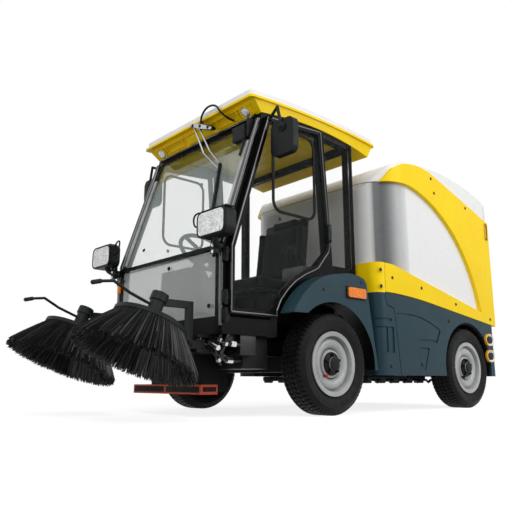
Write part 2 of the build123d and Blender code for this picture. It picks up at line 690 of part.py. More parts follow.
def brush_carrier():
    """Cross beam on the rails' front ends with a pair of swing lugs on each side."""
    front = RAIL_FRONT - 60
    beam = block(-BRUSH_X - 50, BRUSH_X + 50, front, RAIL_FRONT, RAIL_Z0, RAIL_Z1)
    for z0 in (RAIL_Z0, RAIL_Z1 - 18):
        lug = block(BRUSH_X - 40, BRUSH_X + 40, SWING_Y - 30, front, z0, z0 + 18)
        lug -= Pos(BRUSH_X, SWING_Y, z0 - 5) * Cylinder(SWING_PIN_R + PIN_PLAY, 30, align=LOW)
        beam += both(lug)
    return beam


def brush_bracket():
    """Left swing bracket: upright pin, block and the cheeks of the lift pivot."""
    x = BRUSH_X
    part = Pos(x, SWING_Y, RAIL_Z0 - 6) * Cylinder(SWING_PIN_R, RAIL_H + 12, align=LOW)
    part += block(x - 34, x + 34, SWING_Y - 34, SWING_Y + 30, RAIL_Z0 + 26, RAIL_Z1 - 26)
    for x0 in (x - ARM_T / 2 - 20, x + ARM_T / 2 + 6):
        part += block(x0, x0 + 14, LIFT_Y - 18, SWING_Y, LIFT_Z - 22, LIFT_Z + 22)
    return part + pin_x(x - ARM_T / 2 - 26, LIFT_Y, LIFT_Z, LIFT_PIN_R, ARM_T + 52)


# Bends of the spray pipe: behind and above the middle of the brush's tip ring
SPRAY_PIPE = ((104, 300), (-33, 353), (-128, 405), (-200, 396), (-248, 384))


def brush_arm():
    """Left lift arm with the brush motor and the spray pipe over the brush."""
    x0, x1 = BRUSH_X - ARM_T / 2, BRUSH_X + ARM_T / 2
    half = ARM_D / 2
    top = LIFT_Z + ARM_H
    arm = block(x0, x1, LIFT_Y - half, LIFT_Y + half, LIFT_Z, top)
    arm += pin_x(x0, LIFT_Y, LIFT_Z, half, ARM_T)
    arm += block(x0, x1, BRUSH_Y + 105, LIFT_Y + half, top - ARM_D, top)
    arm -= pin_x(x0 - 6, LIFT_Y, LIFT_Z, LIFT_PIN_R + PIN_PLAY, ARM_T + 12)
    foot = BRUSH_H + 30
    motor = Pos(0, 0, foot) * Cylinder(MOTOR_R, MOTOR_H, align=LOW)
    motor += Pos(0, 0, foot + MOTOR_H) * Cylinder(MOTOR_CAP_R, MOTOR_CAP_H, align=LOW)
    motor -= Pos(0, 0, BRUSH_H + 20) * Cylinder(18 + PIN_PLAY, 60, align=LOW)
    pipe = [(BRUSH_X, BRUSH_Y + ahead, BRUSH_Z + up) for ahead, up in SPRAY_PIPE]
    for start, end in zip(pipe, pipe[1:]):
        arm += rod(start, end, SPRAY_R) + Pos(*end) * Sphere(SPRAY_R)
    return arm + brush_axis(1) * motor + rod(pipe[-2], pipe[-1], SPRAY_R + 4)


def brush_head():
    """Left brush plate and its spindle."""
    plate = Pos(0, 0, BRUSH_H) * Cylinder(BRUSH_PLATE_R, 22, align=LOW)
    plate += Pos(0, 0, BRUSH_H) * Cylinder(18, 60, align=LOW)
    return brush_axis(1) * plate


def brush_bristles():
    """Left ring of bristles, spreading from the plate to the tips and parted into tufts."""
    outline = ((BRUSH_R - 70, 0), (BRUSH_R, 0), (BRUSH_PLATE_R, BRUSH_H), (BRUSH_PLATE_R - 62, BRUSH_H))
    ring = revolve(make_face(Plane.XZ * Polyline(*outline, close=True)), axis=Axis.Z)
    parting = ((-TUFT_GAP / 2, -5), (TUFT_GAP / 2, -5), (0, TUFT_H))
    gap = poly_x(parting, BRUSH_PLATE_R - 70, BRUSH_R + 20)
    ring -= [turn * gap for turn in PolarLocations(0, TUFTS)]
    return brush_axis(1) * ring


def duct_hole():
    """Passage from the suction mouth up to the cab's floor."""
    x = DUCT_X - DUCT_WALL
    y0 = RAIL_FRONT + 10 + DUCT_WALL
    return block(-x, x, y0, MOUTH_REAR - DUCT_WALL, MOUTH_TOP - MOUTH_WALL - 1, RAIL_Z1 + 1)


def suction_mouth():
    """Suction mouth behind the brushes: an open frame with a slot in each end."""
    wall = MOUTH_WALL
    y0, y1 = MOUTH_Y, MOUTH_REAR
    mouth = block(-MOUTH_X, MOUTH_X, y0, y1, MOUTH_Z, MOUTH_TOP)
    mouth -= block(-MOUTH_X + wall, MOUTH_X - wall, y0 + wall, y1 - wall, MOUTH_Z - 20, MOUTH_TOP - wall)
    slot = block(MOUTH_X - wall / 2, MOUTH_X + 5, y0 + wall, y1 - wall, MOUTH_Z + wall, MOUTH_TOP - wall)
    return mouth - both(slot) - duct_hole()


def suction_duct():
    """Duct from the mouth to the cab's floor with the dirt box behind it."""
    duct = block(-DUCT_X, DUCT_X, RAIL_FRONT + 10, MOUTH_REAR, MOUTH_TOP, RAIL_Z1)
    duct += block(-DUCT_X, DUCT_X, MOUTH_REAR, MOUTH_REAR + DUCT_L, MOUTH_Z + 10, RAIL_Z1)
    return duct - duct_hole()


# Rear body


def along(share):
    """Station at a share of the hopper's straight side."""
    return NOSE_BACK + share * (HOPPER_REAR - NOSE_BACK)


def body_ring(z0, z1, wall):
    """Upright wall that follows the rear body's plan."""
    length = BODY_REAR - BODY_FRONT
    plan = Pos(0, BODY_FRONT + length / 2, z0) * Rectangle(BODY_W, length)
    plan = fillet(plan.vertices().group_by(Axis.Y)[0], BODY_FRONT_R)
    plan = fillet(plan.vertices().group_by(Axis.Y)[-1], BODY_REAR_R)
    return extrude(plan - offset(plan, amount=-wall), amount=z1 - z0)


def band_foot(gap):
    """Line between the skirts and the yellow band, raised by a gap, from front to back."""
    z = BAND_Z + gap
    knee = HOPPER_NOSE + 68
    line = Line((SEAM_Y + gap, z), (knee, z))
    line += ThreePointArc((knee, z), (along(0.11), z - 17), (along(0.32), z - 46))
    return line + Line((along(0.32), z - 46), (HOPPER_REAR, z - 147))


def skirt_wall():
    """Whole lower wall with its wheel arches and the open middle of its front."""
    line = band_foot(0)
    line += Polyline(
        (HOPPER_REAR, BAND_Z - 147), (HOPPER_REAR, 0), (BODY_FRONT - 20, 0),
        (BODY_FRONT - 20, BAND_Z), (SEAM_Y, BAND_Z),
    )
    wall = body_ring(SKIRT_Z0, BAND_Z, SKIRT_T) & prism_x(line, -BODY_W, BODY_W)
    wall -= pin_x(-BODY_W, WHEELBASE, HUB_Z, REAR_ARCH_R, 2 * BODY_W)
    return wall - block(-CORNER_X, CORNER_X, BODY_FRONT - 10, BODY_FRONT + 60, 0, BAND_Z + 10)


# Pressed lines in the skirts: width, then stations behind the seam and heights over the lower edge
SKIRT_LINES = (
    (6, ((-6, 570), (2, 501), (22, 468), (90, 453), (99, 426), (145, -20))),
    (8, ((122, 418), (260, 424), (405, 413), (540, 380), (663, 334))),
    (20, ((381, 246), (611, 246), (663, 326))),
    (14, ((388, 190), (510, 190))),
    (12, ((500, 186), (440, 40))),
)
# Pressed pockets in the skirts' front corners: stations from the seam, heights over the lower edge
SKIRT_POCKETS = ((-70, 10, 150, 324), (20, 80, 150, 324), (-70, 60, 362, 380))


def skirt_relief():
    """Pressed lines and pockets of both skirts, as deep as their skin."""
    skin = body_ring(0, BAND_Z, RELIEF_T)
    marks = Part()
    for width, points in SKIRT_LINES:
        line = Polyline(*((SEAM_Y + y, SKIRT_Z0 + z) for y, z in points))
        mark = extrude(Plane.YZ * trace(line, width), amount=2 * BODY_W, dir=(1, 0, 0))
        marks += Pos(-BODY_W, 0, 0) * mark
    for y0, y1, z0, z1 in SKIRT_POCKETS:
        marks += block(-BODY_W, BODY_W, SEAM_Y + y0, SEAM_Y + y1, SKIRT_Z0 + z0, SKIRT_Z0 + z1)
    return skin & marks


def rear_skirts():
    """Side skirts with the front corners and their pressed relief."""
    wall = skirt_wall() & block(-BODY_X, BODY_X, BODY_FRONT, BODY_REAR - 70, 0, BAND_Z)
    return wall - skirt_relief()


def rear_panel():
    """Rear wall below the hopper's gate, notched for the hinge ears and the tow eye."""
    y0, y1 = BODY_REAR - 60, BODY_REAR + 5
    ears = TIP_X + TIP_EAR_T + 35
    wall = skirt_wall() & block(-BODY_X, BODY_X, BODY_REAR - 70, BODY_REAR, 0, BAND_Z)
    wall -= block(-ears, ears, y0, y1, TIP_Z - 68, BAND_Z)
    return wall - block(-46, 46, y0, y1, TOW_Z - 6, TOW_Z + TOW_T + 6)


def corner_panels():
    """Fixed yellow corners ahead of the hopper."""
    top = SHELF_TOP + 8
    wall = body_ring(BAND_Z, top, SKIRT_T) & block(-BODY_X, BODY_X, BODY_FRONT, SEAM_Y, BAND_Z, top)
    return wall - block(-CORNER_X, CORNER_X, BODY_FRONT - 10, BODY_FRONT + 60, BAND_Z - 10, SHELF_TOP + 20)


def tail_lamps():
    """Oval lamps on the skirts' rear corners, two a side."""
    lamps = Part()
    for z in (SKIRT_Z0 + 162, SKIRT_Z0 + 294):
        ring = Plane(origin=(BODY_X, BODY_REAR - BODY_REAR_R - 66, z), x_dir=(0, 1, 0), z_dir=(1, 0, 0))
        lamps += both(extrude(ring * SlotOverall(128, 100), amount=12))
    return lamps


# Left-hand faces of the hopper's hinge ears for the gate
GATE_LUGS = (-430, 375)


def hopper_side(inset):
    """Upper outline of the hopper in side view, moved inwards by the inset."""
    front = HOPPER_NOSE + inset
    rear = HOPPER_REAR
    foot = HOPPER_FLOOR + inset
    top = HOPPER_TOP - inset
    line = Line((front, foot), (front, top - 266))
    brow = (HOPPER_NOSE + 108 + inset * 0.7, top - 111)
    line += ThreePointArc((front, top - 266), brow, (along(0.07), top - 34))
    line += ThreePointArc((along(0.07), top - 34), (along(0.38), top), (rear, top - 116))
    return line + Polyline((rear, top - 116), (rear, foot), (front, foot))


def hopper_hull(inset):
    """Outer or inner hull of the hopper."""
    x = HOPPER_X - inset
    top = prism_x(hopper_side(inset), -x, x)
    nose = top.edges().filter_by(Axis.Z).group_by(Axis.Y)[0]
    top = fillet(nose, HOPPER_NOSE_R - inset)
    front = SEAM_Y + SEAM_GAP + inset
    return top + block(-x, x, front, HOPPER_REAR, HOPPER_FLOOR + inset, SHELF_TOP - inset)


def hopper_body():
    """Hollow container, open at the back."""
    hull = hopper_hull(0) - hopper_hull(HOPPER_WALL)
    x0, x1 = TIP_X - 30, TIP_X - 6
    lug = block(x0, x1, TIP_Y - 120, TIP_Y, TIP_Z - TIP_EAR_R, HOPPER_FLOOR)
    lug += pin_x(x0, TIP_Y, TIP_Z, TIP_EAR_R, x1 - x0)
    lug += pin_x(x1, TIP_Y, TIP_Z, TIP_PIN_R, TIP_EAR_T + 9)
    hull += both(lug)
    y, z = GATE_HINGE_Y, GATE_HINGE_Z
    for x0 in GATE_LUGS:
        ear = block(x0, x0 + 25, HOPPER_REAR - 60, y, z - GATE_BARREL_R, z + GATE_BARREL_R)
        ear += block(x0, x0 + 25, HOPPER_REAR - 60, HOPPER_REAR, z - 26, z)
        ear += pin_x(x0, y, z, GATE_BARREL_R, 25) + pin_x(x0 + 25, y, z, GATE_PIN_R, 34)
        hull += ear
    return hull


def hopper_bands():
    """Yellow side plates: the low band and the sweep up to the roof."""
    top = HOPPER_TOP
    rear = HOPPER_REAR
    seam = SEAM_Y + SEAM_GAP
    shelf = SHELF_TOP + 7
    line = band_foot(SEAM_GAP)
    line += Line((rear, BAND_Z - 147 + SEAM_GAP), (rear, top - 304))
    line += ThreePointArc((rear, top - 304), (along(0.654), top - 176), (along(0.308), top - 51))
    line += ThreePointArc((along(0.308), top - 51), (along(0.145), top - 36), (NOSE_BACK, top - 69))
    line += Polyline((NOSE_BACK, top - 69), (NOSE_BACK, top - 219), (along(0.07), top - 219))
    line += ThreePointArc((along(0.07), top - 219), (along(0.555), top - 512), (along(0.824), BAND_Z - 37))
    line += Line((along(0.824), BAND_Z - 37), (HOPPER_NOSE + 140, shelf - 18))
    line += ThreePointArc(
        (HOPPER_NOSE + 140, shelf - 18), (HOPPER_NOSE + 88, shelf - 6), (HOPPER_NOSE + 28, shelf)
    )
    line += Polyline((HOPPER_NOSE + 28, shelf), (seam, shelf), (seam, BAND_Z + SEAM_GAP))
    plate = prism_x(line, HOPPER_X, BODY_X)
    spike = (
        (HOPPER_NOSE + 58, top - 226), (HOPPER_NOSE + 138, top - 118), (NOSE_BACK, top - 69),
        (NOSE_BACK, top - 219), (HOPPER_NOSE + 178, top - 222),
    )
    centre = Pos(HOPPER_X - HOPPER_NOSE_R, NOSE_BACK, top - 266)
    wrap = centre * Cylinder(HOPPER_NOSE_R + BAND_T, 260, align=LOW)
    wrap -= centre * Cylinder(HOPPER_NOSE_R, 260, align=LOW)
    return both(plate + (wrap & poly_x(spike, HOPPER_X - HOPPER_NOSE_R, BODY_X)))


def hopper_gate():
    """Rear gate hung from the top edge of the hopper."""
    y, z = GATE_HINGE_Y, GATE_HINGE_Z
    gate = block(-HOPPER_X, HOPPER_X, GATE_Y, GATE_Y + GATE_T, HOPPER_FLOOR + 4, z - 35)
    for x0 in GATE_LUGS:
        lug = block(x0 + 31, x0 + 55, GATE_Y, GATE_Y + GATE_T, z - 60, z)
        lug += pin_x(x0 + 31, y, z, GATE_BARREL_R, 24)
        gate += lug - pin_x(x0 + 20, y, z, GATE_PIN_R + PIN_PLAY, 50)
    return gate


PIECES = {
    "chassis_rails": chassis_rails,
    "cross_members": cross_members,
    "tow_eye": tow_eye,
    "front_axle": front_axle,
    "rear_axle": rear_axle,
    "battery_pack": battery_pack,
    "cab_floor": cab_floor,
    "cab_body": cab_body,
    "cab_glass": cab_glass,
    "roof_shell": roof_shell,
    "roof_cap": roof_cap,
    "dashboard": dashboard,
    "steering_wheel": steering_wheel,
    "seat": seat,
    "fender_lamps": fender_lamps,
    "headlamp_cases": headlamp_cases,
    "headlamp_lenses": headlamp_lenses,
    "work_lamps": work_lamps,
    "beacon": beacon,
    "wiper": wiper,
    "brush_carrier": brush_carrier,
    "suction_mouth": suction_mouth,
    "suction_duct": suction_duct,
    "rear_skirts": rear_skirts,
    "rear_panel": rear_panel,
    "corner_panels": corner_panels,
    "tail_lamps": tail_lamps,
    "hopper_body": hopper_body,
    "hopper_bands": hopper_bands,
    "hopper_gate": hopper_gate,
}
# Pieces drawn on the left and mirrored for the right
HANDED = {
    "fender": fender,
    "knuckle": knuckle,
    "door_frame": door_frame,
    "door_glass": door_glass,
    "mirror": mirror_arm,
    "brush_bracket": brush_bracket,
    "brush_arm": brush_arm,
    "brush_head": brush_head,
    "brush_bristles": brush_bristles,
}
AXLES = {"front": 0, "rear": WHEELBASE}
SIDES = {"left": 1, "right": -1}


def save(name, shape):
    """Write one piece in the part's frame."""
    export_step(place(shape), f"parts/{name}.step")


def main():
    """Build and write every piece."""
    os.makedirs("parts", exist_ok=True)
    for name, make in PIECES.items():
        save(name, make())
    for name, make in HANDED.items():
        shape = make()
        save(f"{name}_left", shape)
        save(f"{name}_right", other(shape))
    for axle, station in AXLES.items():
        for hand, side in SIDES.items():
            seat_of_wheel = wheel_place(side, station)
            save(f"tyre_{axle}_{hand}", seat_of_wheel * tyre())
            save(f"rim_{axle}_{hand}", seat_of_wheel * rim())


if __name__ == "__main__":
    main()
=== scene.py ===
"""Looks of a compact electric road sweeper: finishes, brushes, wheels, seat, lamps, trim, studio."""

import json
import math
import random

import bmesh
import bpy
from mathutils import Matrix, Vector


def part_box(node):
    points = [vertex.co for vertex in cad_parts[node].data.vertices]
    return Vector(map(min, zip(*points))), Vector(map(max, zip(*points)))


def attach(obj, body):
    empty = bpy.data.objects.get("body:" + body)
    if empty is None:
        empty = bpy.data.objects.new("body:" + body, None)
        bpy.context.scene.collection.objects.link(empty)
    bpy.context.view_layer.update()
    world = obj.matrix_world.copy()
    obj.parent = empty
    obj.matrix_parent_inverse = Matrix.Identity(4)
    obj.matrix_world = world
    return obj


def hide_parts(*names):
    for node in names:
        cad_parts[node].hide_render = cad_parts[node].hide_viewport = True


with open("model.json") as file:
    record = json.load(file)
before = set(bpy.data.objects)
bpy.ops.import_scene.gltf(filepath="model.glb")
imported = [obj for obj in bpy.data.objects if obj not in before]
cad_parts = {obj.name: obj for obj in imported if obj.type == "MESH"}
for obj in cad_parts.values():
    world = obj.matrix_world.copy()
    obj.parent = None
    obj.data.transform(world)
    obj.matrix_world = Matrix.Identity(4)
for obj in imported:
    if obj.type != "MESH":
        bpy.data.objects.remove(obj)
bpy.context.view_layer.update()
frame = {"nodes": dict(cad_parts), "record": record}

# The front axle's station in the frame: places below are in millimetres behind it
HUB = [(a + b) / 2 for a, b in zip(*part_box("rim_front_left"))]
AXLE_Y = HUB[1]
SIDES = {"left": 1, "right": -1}


def at(x, y, z):
    """Point in metres from millimetres: left of the middle, behind the front axle, up."""
    return Vector((x / 1000, AXLE_Y + y / 1000, z / 1000))


# Materials


class Finish:
    """A node material built round one Principled shader."""

    def __init__(self, name, color, rough=0.5, metal=0.0, **extra):
        self.mat = bpy.data.materials.new(name)
        self.mat.use_nodes = True
        self.nodes = self.mat.node_tree.nodes
        self.links = self.mat.node_tree.links
        self.shader = self.nodes["Principled BSDF"]
        self.color = color
        self.set("Base Color", (*color, 1))
        self.set("Roughness", rough)
        self.set("Metallic", metal)
        for key, value in extra.items():
            self.set(key.replace("_", " "), value)

    def set(self, socket, value):
        """Set one constant on the shader itself."""
        self.shader.inputs[socket].default_value = value

    def node(self, kind, **values):
        """Add a node and set its inputs or attributes by name."""
        node = self.nodes.new(kind)
        for key, value in values.items():
            if key in node.inputs:
                node.inputs[key].default_value = value
            else:
                setattr(node, key, value)
        return node

    def place(self, stretch=(1, 1, 1)):
        """Object coordinates with a stretch."""
        coords = self.node("ShaderNodeTexCoord")
        mapping = self.node("ShaderNodeMapping")
        mapping.inputs["Scale"].default_value = stretch
        self.links.new(coords.outputs["Object"], mapping.inputs["Vector"])
        return mapping.outputs["Vector"]

    def noise(self, scale, detail=3.0, stretch=(1, 1, 1)):
        """Noise over the object, in cycles a metre."""
        tex = self.node("ShaderNodeTexNoise", Scale=scale, Detail=detail)
        self.links.new(self.place(stretch), tex.inputs["Vector"])
        return tex.outputs["Fac"]

    def ramp(self, source, *stops):
        """Colour ramp of (position, colour) stops over a value."""
        ramp = self.node("ShaderNodeValToRGB")
        elements = ramp.color_ramp.elements
        while len(elements) < len(stops):
            elements.new(0.5)
        for element, (position, color) in zip(elements, stops):
            element.position = position
            element.color = (*color, 1)
        self.links.new(source, ramp.inputs["Fac"])
        return ramp.outputs["Color"]

    def tint(self, source, low, high):
        """Vary the base colour by a share between low and high over a value."""
        shades = [tuple(min(1, c * k) for c in self.color) for k in (low, high)]
        color = self.ramp(source, (0.3, shades[0]), (0.7, shades[1]))
        self.links.new(color, self.shader.inputs["Base Color"])
        return self

    def dull(self, source, low, high):
        """Vary the roughness over a value."""
        greys = [(v, v, v) for v in (low, high)]
        rough = self.ramp(source, (0.3, greys[0]), (0.7, greys[1]))
        self.links.new(rough, self.shader.inputs["Roughness"])
        return self

    def bump(self, source, depth, strength):
        """Raise the surface by a value, depth in metres."""
        bump = self.node("ShaderNodeBump", Strength=strength, Distance=depth)
        self.links.new(source, bump.inputs["Height"])
        self.links.new(bump.outputs["Normal"], self.shader.inputs["Normal"])
        return self


def gloss_paint(name, color, rough=0.26, coat=0.12):
    """Sprayed paint: faint orange peel, a little dust in the gloss."""
    finish = Finish(name, color, rough, Coat_Weight=coat, Coat_Roughness=0.08, Specular_IOR_Level=0.1)
    finish.tint(finish.noise(3.5), 0.95, 1.04).dull(finish.noise(9), rough * 0.8, rough * 1.5)
    return finish.bump(finish.noise(420, 1.0), 0.0004, 0.12).mat


def satin_paint(name, color, rough=0.42, shine=0.25):
    """Powder coat with a fine grain and duller patches."""
    finish = Finish(name, color, rough, Specular_IOR_Level=shine)
    finish.tint(finish.noise(6), 0.8, 1.25).dull(finish.noise(14), rough * 0.8, rough * 1.3)
    return finish.bump(finish.noise(900, 1.0), 0.0003, 0.25).mat


def moulded(name, color, rough=0.45, grain=1100, shine=0.12):
    """Moulded plastic with a fine leather grain."""
    finish = Finish(name, color, rough, Specular_IOR_Level=shine)
    finish.tint(finish.noise(4), 0.9, 1.12).dull(finish.noise(22), rough * 0.85, rough * 1.2)
    return finish.bump(finish.noise(grain, 2.0), 0.0004, 0.3).mat


def bare_metal(name, color, rough=0.25, stretch=(40, 40, 1)):
    """Metal with fine drawn lines."""
    finish = Finish(name, color, rough, 1.0)
    finish.dull(finish.noise(30, 2.0, stretch), rough * 0.7, rough * 1.4)
    return finish.bump(finish.noise(60, 2.0, stretch), 0.0002, 0.1).mat


def window(name, color, alpha):
    """Thin clear pane with a faint tint."""
    finish = Finish(name, color, 0.02, Alpha=alpha, IOR=1.45)
    finish.tint(finish.noise(2), 0.96, 1.03)
    return finish.mat


def lens(name, color, ribs, silver=0.0):
    """Moulded lamp lens with fine ribs under a clear face, silvered behind by a share."""
    finish = Finish(name, color, 0.2, silver, Coat_Weight=0.25, Coat_Roughness=0.03, Specular_IOR_Level=0.2)
    tex = finish.node("ShaderNodeTexVoronoi", Scale=ribs)
    finish.links.new(finish.place(), tex.inputs["Vector"])
    finish.tint(tex.outputs["Distance"], 0.75, 1.15).bump(tex.outputs["Distance"], 0.003, 0.5)
    return finish.mat


def rubber(name, color, rough=0.75):
    """Black rubber with grey dust."""
    finish = Finish(name, color, rough, Specular_IOR_Level=0.1)
    finish.tint(finish.noise(18, 6.0), 0.7, 1.7).dull(finish.noise(40), rough * 0.85, min(1, rough * 1.2))
    return finish.bump(finish.noise(700), 0.0005, 0.3).mat


def cloth(name, color):
    """Woven seat cloth."""
    finish = Finish(name, color, 0.9, Sheen_Weight=0.08, Specular_IOR_Level=0.1)
    weave = finish.node("ShaderNodeTexWave", Scale=180, Distortion=2.0)
    finish.links.new(finish.place(), weave.inputs["Vector"])
    return finish.tint(finish.noise(60), 0.7, 1.3).bump(weave.outputs["Fac"], 0.0008, 0.4).mat


# The hopper's steel corner and its painted reflection: stations behind the axle over which light and dark
# bands are painted, and heights where white takes over, in metres
STEEL_REFLECTION_STATIONS = (0.560, 0.960)
WHITE_FROM = (1.640, 1.650)


def hopper_skin(name, color):
    """White panels with a steel corner at the front, painted light grey with a dark band round its bend: a
    painted reflection.
    """
    finish = Finish(name, color, 0.26, Coat_Weight=0.12, Coat_Roughness=0.08, Specular_IOR_Level=0.22)
    coords = finish.node("ShaderNodeTexCoord")
    split = finish.node("ShaderNodeSeparateXYZ")
    finish.links.new(coords.outputs["Object"], split.inputs["Vector"])

    def between(axis, low, high):
        share = finish.node("ShaderNodeMapRange")
        share.inputs["From Min"].default_value = low
        share.inputs["From Max"].default_value = high
        finish.links.new(split.outputs[axis], share.inputs["Value"])
        return share.outputs["Result"]

    # Painted reflection on the steel corner: light grey, a dark band, then light grey again and white, along
    # the stations
    steel = finish.ramp(
        between("Y", *(AXLE_Y + station for station in STEEL_REFLECTION_STATIONS)),
        (0.0, (0.66, 0.67, 0.67)), (0.11, (0.74, 0.75, 0.75)),
        (0.135, (0.5, 0.51, 0.51)), (0.155, (0.17, 0.18, 0.185)), (0.25, (0.115, 0.12, 0.125)),
        (0.39, (0.2, 0.21, 0.215)), (0.56, (0.44, 0.45, 0.45)), (0.80, (0.68, 0.69, 0.69)), (0.83, color),
    )
    mix = finish.node("ShaderNodeMix", data_type="RGBA")
    above = finish.ramp(between("Z", *WHITE_FROM), (0.4, (0, 0, 0)), (0.6, (1, 1, 1)))
    finish.links.new(above, mix.inputs["Factor"])
    finish.links.new(steel, mix.inputs["A"])
    mix.inputs["B"].default_value = (*color, 1)
    finish.links.new(mix.outputs["Result"], finish.shader.inputs["Base Color"])
    brushed = finish.noise(50, 2.0, (1, 1, 0.02))
    return finish.dull(finish.noise(9), 0.2, 0.4).bump(brushed, 0.0002, 0.06).mat


def fender_skin(name, color, inside):
    """Moulded plastic that is black on the faces turned to the front wheel's axle."""
    finish = Finish(name, color, 0.36, Specular_IOR_Level=0.12)
    place = finish.node("ShaderNodeNewGeometry")
    reach = finish.node("ShaderNodeVectorMath", operation="SUBTRACT")
    reach.inputs[1].default_value = (0, AXLE_Y, HUB[2])
    flat = finish.node("ShaderNodeVectorMath", operation="MULTIPLY")
    flat.inputs[1].default_value = (0, 1, 1)
    facing = finish.node("ShaderNodeVectorMath", operation="DOT_PRODUCT")
    inner = finish.node("ShaderNodeMath", operation="LESS_THAN")
    inner.inputs[1].default_value = -0.05
    mix = finish.node("ShaderNodeMix", data_type="RGBA")
    finish.links.new(place.outputs["Position"], reach.inputs[0])
    finish.links.new(reach.outputs[0], flat.inputs[0])
    finish.links.new(flat.outputs[0], facing.inputs[0])
    finish.links.new(place.outputs["Normal"], facing.inputs[1])
    finish.links.new(facing.outputs["Value"], inner.inputs[0])
    finish.links.new(inner.outputs[0], mix.inputs["Factor"])
    shades = [tuple(c * k for c in color) for k in (0.9, 1.12)]
    finish.links.new(finish.ramp(finish.noise(4), (0.3, shades[0]), (0.7, shades[1])), mix.inputs["A"])
    mix.inputs["B"].default_value = (*inside, 1)
    finish.links.new(mix.outputs["Result"], finish.shader.inputs["Base Color"])
    return finish.dull(finish.noise(22), 0.3, 0.43).bump(finish.noise(1100, 2.0), 0.0004, 0.3).mat


YELLOW = gloss_paint("yellow_paint", (1.0, 0.68, 0.002), 0.26, 0.03)
WHITE = gloss_paint("white_paint", (0.82, 0.83, 0.83))
HOPPER = hopper_skin("hopper_skin", (0.82, 0.83, 0.83))
BLUE_GREY = moulded("blue_grey_plastic", (0.017, 0.044, 0.059), 0.36)
FENDER = fender_skin("fender_plastic", (0.017, 0.044, 0.059), (0.003, 0.0032, 0.0034))
CAB_BLACK = satin_paint("cab_black", (0.004, 0.0043, 0.0046), 0.28, 0.05)
PILLAR = satin_paint("pillar_black", (0.006, 0.0065, 0.007), 0.16, 0.9)
CHASSIS = satin_paint("chassis_black", (0.008, 0.008, 0.0085), 0.5, 0.15)
PLASTIC = moulded("black_plastic", (0.010, 0.011, 0.012), 0.45)
CASE_GREY = satin_paint("case_grey", (0.07, 0.07, 0.072))
MOTOR_GREY = moulded("motor_grey", (0.016, 0.018, 0.019), 0.45)
ORANGE = satin_paint("orange_paint", (0.42, 0.05, 0.012))
RIM = satin_paint("rim_silver", (0.36, 0.37, 0.37), 0.28, 0.6)
STEEL = bare_metal("bright_steel", (0.62, 0.63, 0.64))
CHROME = bare_metal("chrome", (0.36, 0.37, 0.38), 0.16)
TYRE = rubber("tyre_rubber", (0.0055, 0.0056, 0.0056), 0.5)
SEAL = rubber("seal_rubber", (0.005, 0.005, 0.0055), 0.6)
PIPE = satin_paint("pipe_paint", (0.008, 0.008, 0.009), 0.3, 0.3)
BRISTLE = moulded("bristle", (0.012, 0.012, 0.013), 0.4, 300, 0.2)
BRISTLE_GREY = moulded("bristle_grey", (0.05, 0.053, 0.055), 0.36, 300, 0.3)
BRISTLE_WORN = moulded("bristle_worn", (0.13, 0.125, 0.115), 0.5, 300, 0.3)
GLASS = window("window_glass", (0.5, 0.58, 0.56), 0.01)
FILM = window("screen_film", (0.50, 0.58, 0.55), 0.40)
SMOKE = window("lower_film", (0.40, 0.41, 0.41), 0.78)
# Dark yellow strip at the top of the screen: painted shade of the roof's yellow underside seen through the
# glass
PAINTED_ROOF_SHADE = window("painted_roof_shade", (0.16, 0.14, 0.004), 0.8)
LAMP = lens("lamp_lens", (0.60, 0.61, 0.60), 90, 0.5)
AMBER = lens("amber_lens", (0.92, 0.22, 0.003), 120)
GOLD_LENS = lens("gold_lens", (0.88, 0.42, 0.015), 120)
RED = lens("red_lens", (0.5, 0.01, 0.008), 120)
CLOTH = cloth("seat_cloth", (0.008, 0.008, 0.0085))
MIRROR = bare_metal("mirror_silver", (0.9, 0.9, 0.9), 0.03, (1, 1, 1))
# Light grey for the painted highlight along each front pillar beside the screen
PILLAR_HIGHLIGHT_PAINT = satin_paint("pillar_painted_highlight", (0.36, 0.37, 0.37), 0.25, 0.5)
GOLD = bare_metal("hasp_gold", (0.55, 0.34, 0.05), 0.3)
HUB_BLACK = satin_paint("hub_black", (0.005, 0.005, 0.0055), 0.4, 0.12)
BOLT = satin_paint("bolt_black", (0.012, 0.012, 0.013), 0.35)

SLOTS = {
    "chassis_black": CHASSIS, "cab_black": CAB_BLACK, "case_grey": CASE_GREY, "clear_glass": GLASS,
    "yellow": YELLOW, "white": WHITE, "hopper_white": HOPPER, "blue_grey": BLUE_GREY,
    "black_plastic": PLASTIC, "seat_fabric": CLOTH, "amber_lens": AMBER, "red_lens": RED,
    "lamp_glass": LAMP, "tyre": TYRE, "rim_silver": RIM, "motor_grey": MOTOR_GREY,
    "bristle": BRISTLE, "orange_red": ORANGE,
}
for part in frame["record"]["subparts"]:
    mesh = frame["nodes"][part["node"]].data
    mesh.materials.clear()
    mesh.materials.append(SLOTS[part["material_slot"]])
for hand in SIDES:
    frame["nodes"][f"fender_{hand}"].data.materials[0] = FENDER


# Meshes

SHARP_ANGLE = math.radians(35)


def piece(name, bm, body, slot, *materials):
    """Turn a bmesh into a piece that rides on a body."""
    mesh = bpy.data.meshes.new(name)
    bmesh.ops.recalc_face_normals(bm, faces=bm.faces)
    bm.to_mesh(mesh)
    bm.free()
    for material in materials:
        mesh.materials.append(material)
    mesh.shade_smooth()
    mesh.set_sharp_from_angle(angle=SHARP_ANGLE)
    obj = bpy.data.objects.new(name, mesh)
    bpy.context.scene.collection.objects.link(obj)
    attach(obj, body)
    return obj


def frame_of(axis):
    """Two directions square to an axis."""
    axis = Vector(axis).normalized()
    side = axis.cross(Vector((0, 0, 1)) if abs(axis.z) < 0.9 else Vector((1, 0, 0))).normalized()
    return side, axis.cross(side), axis


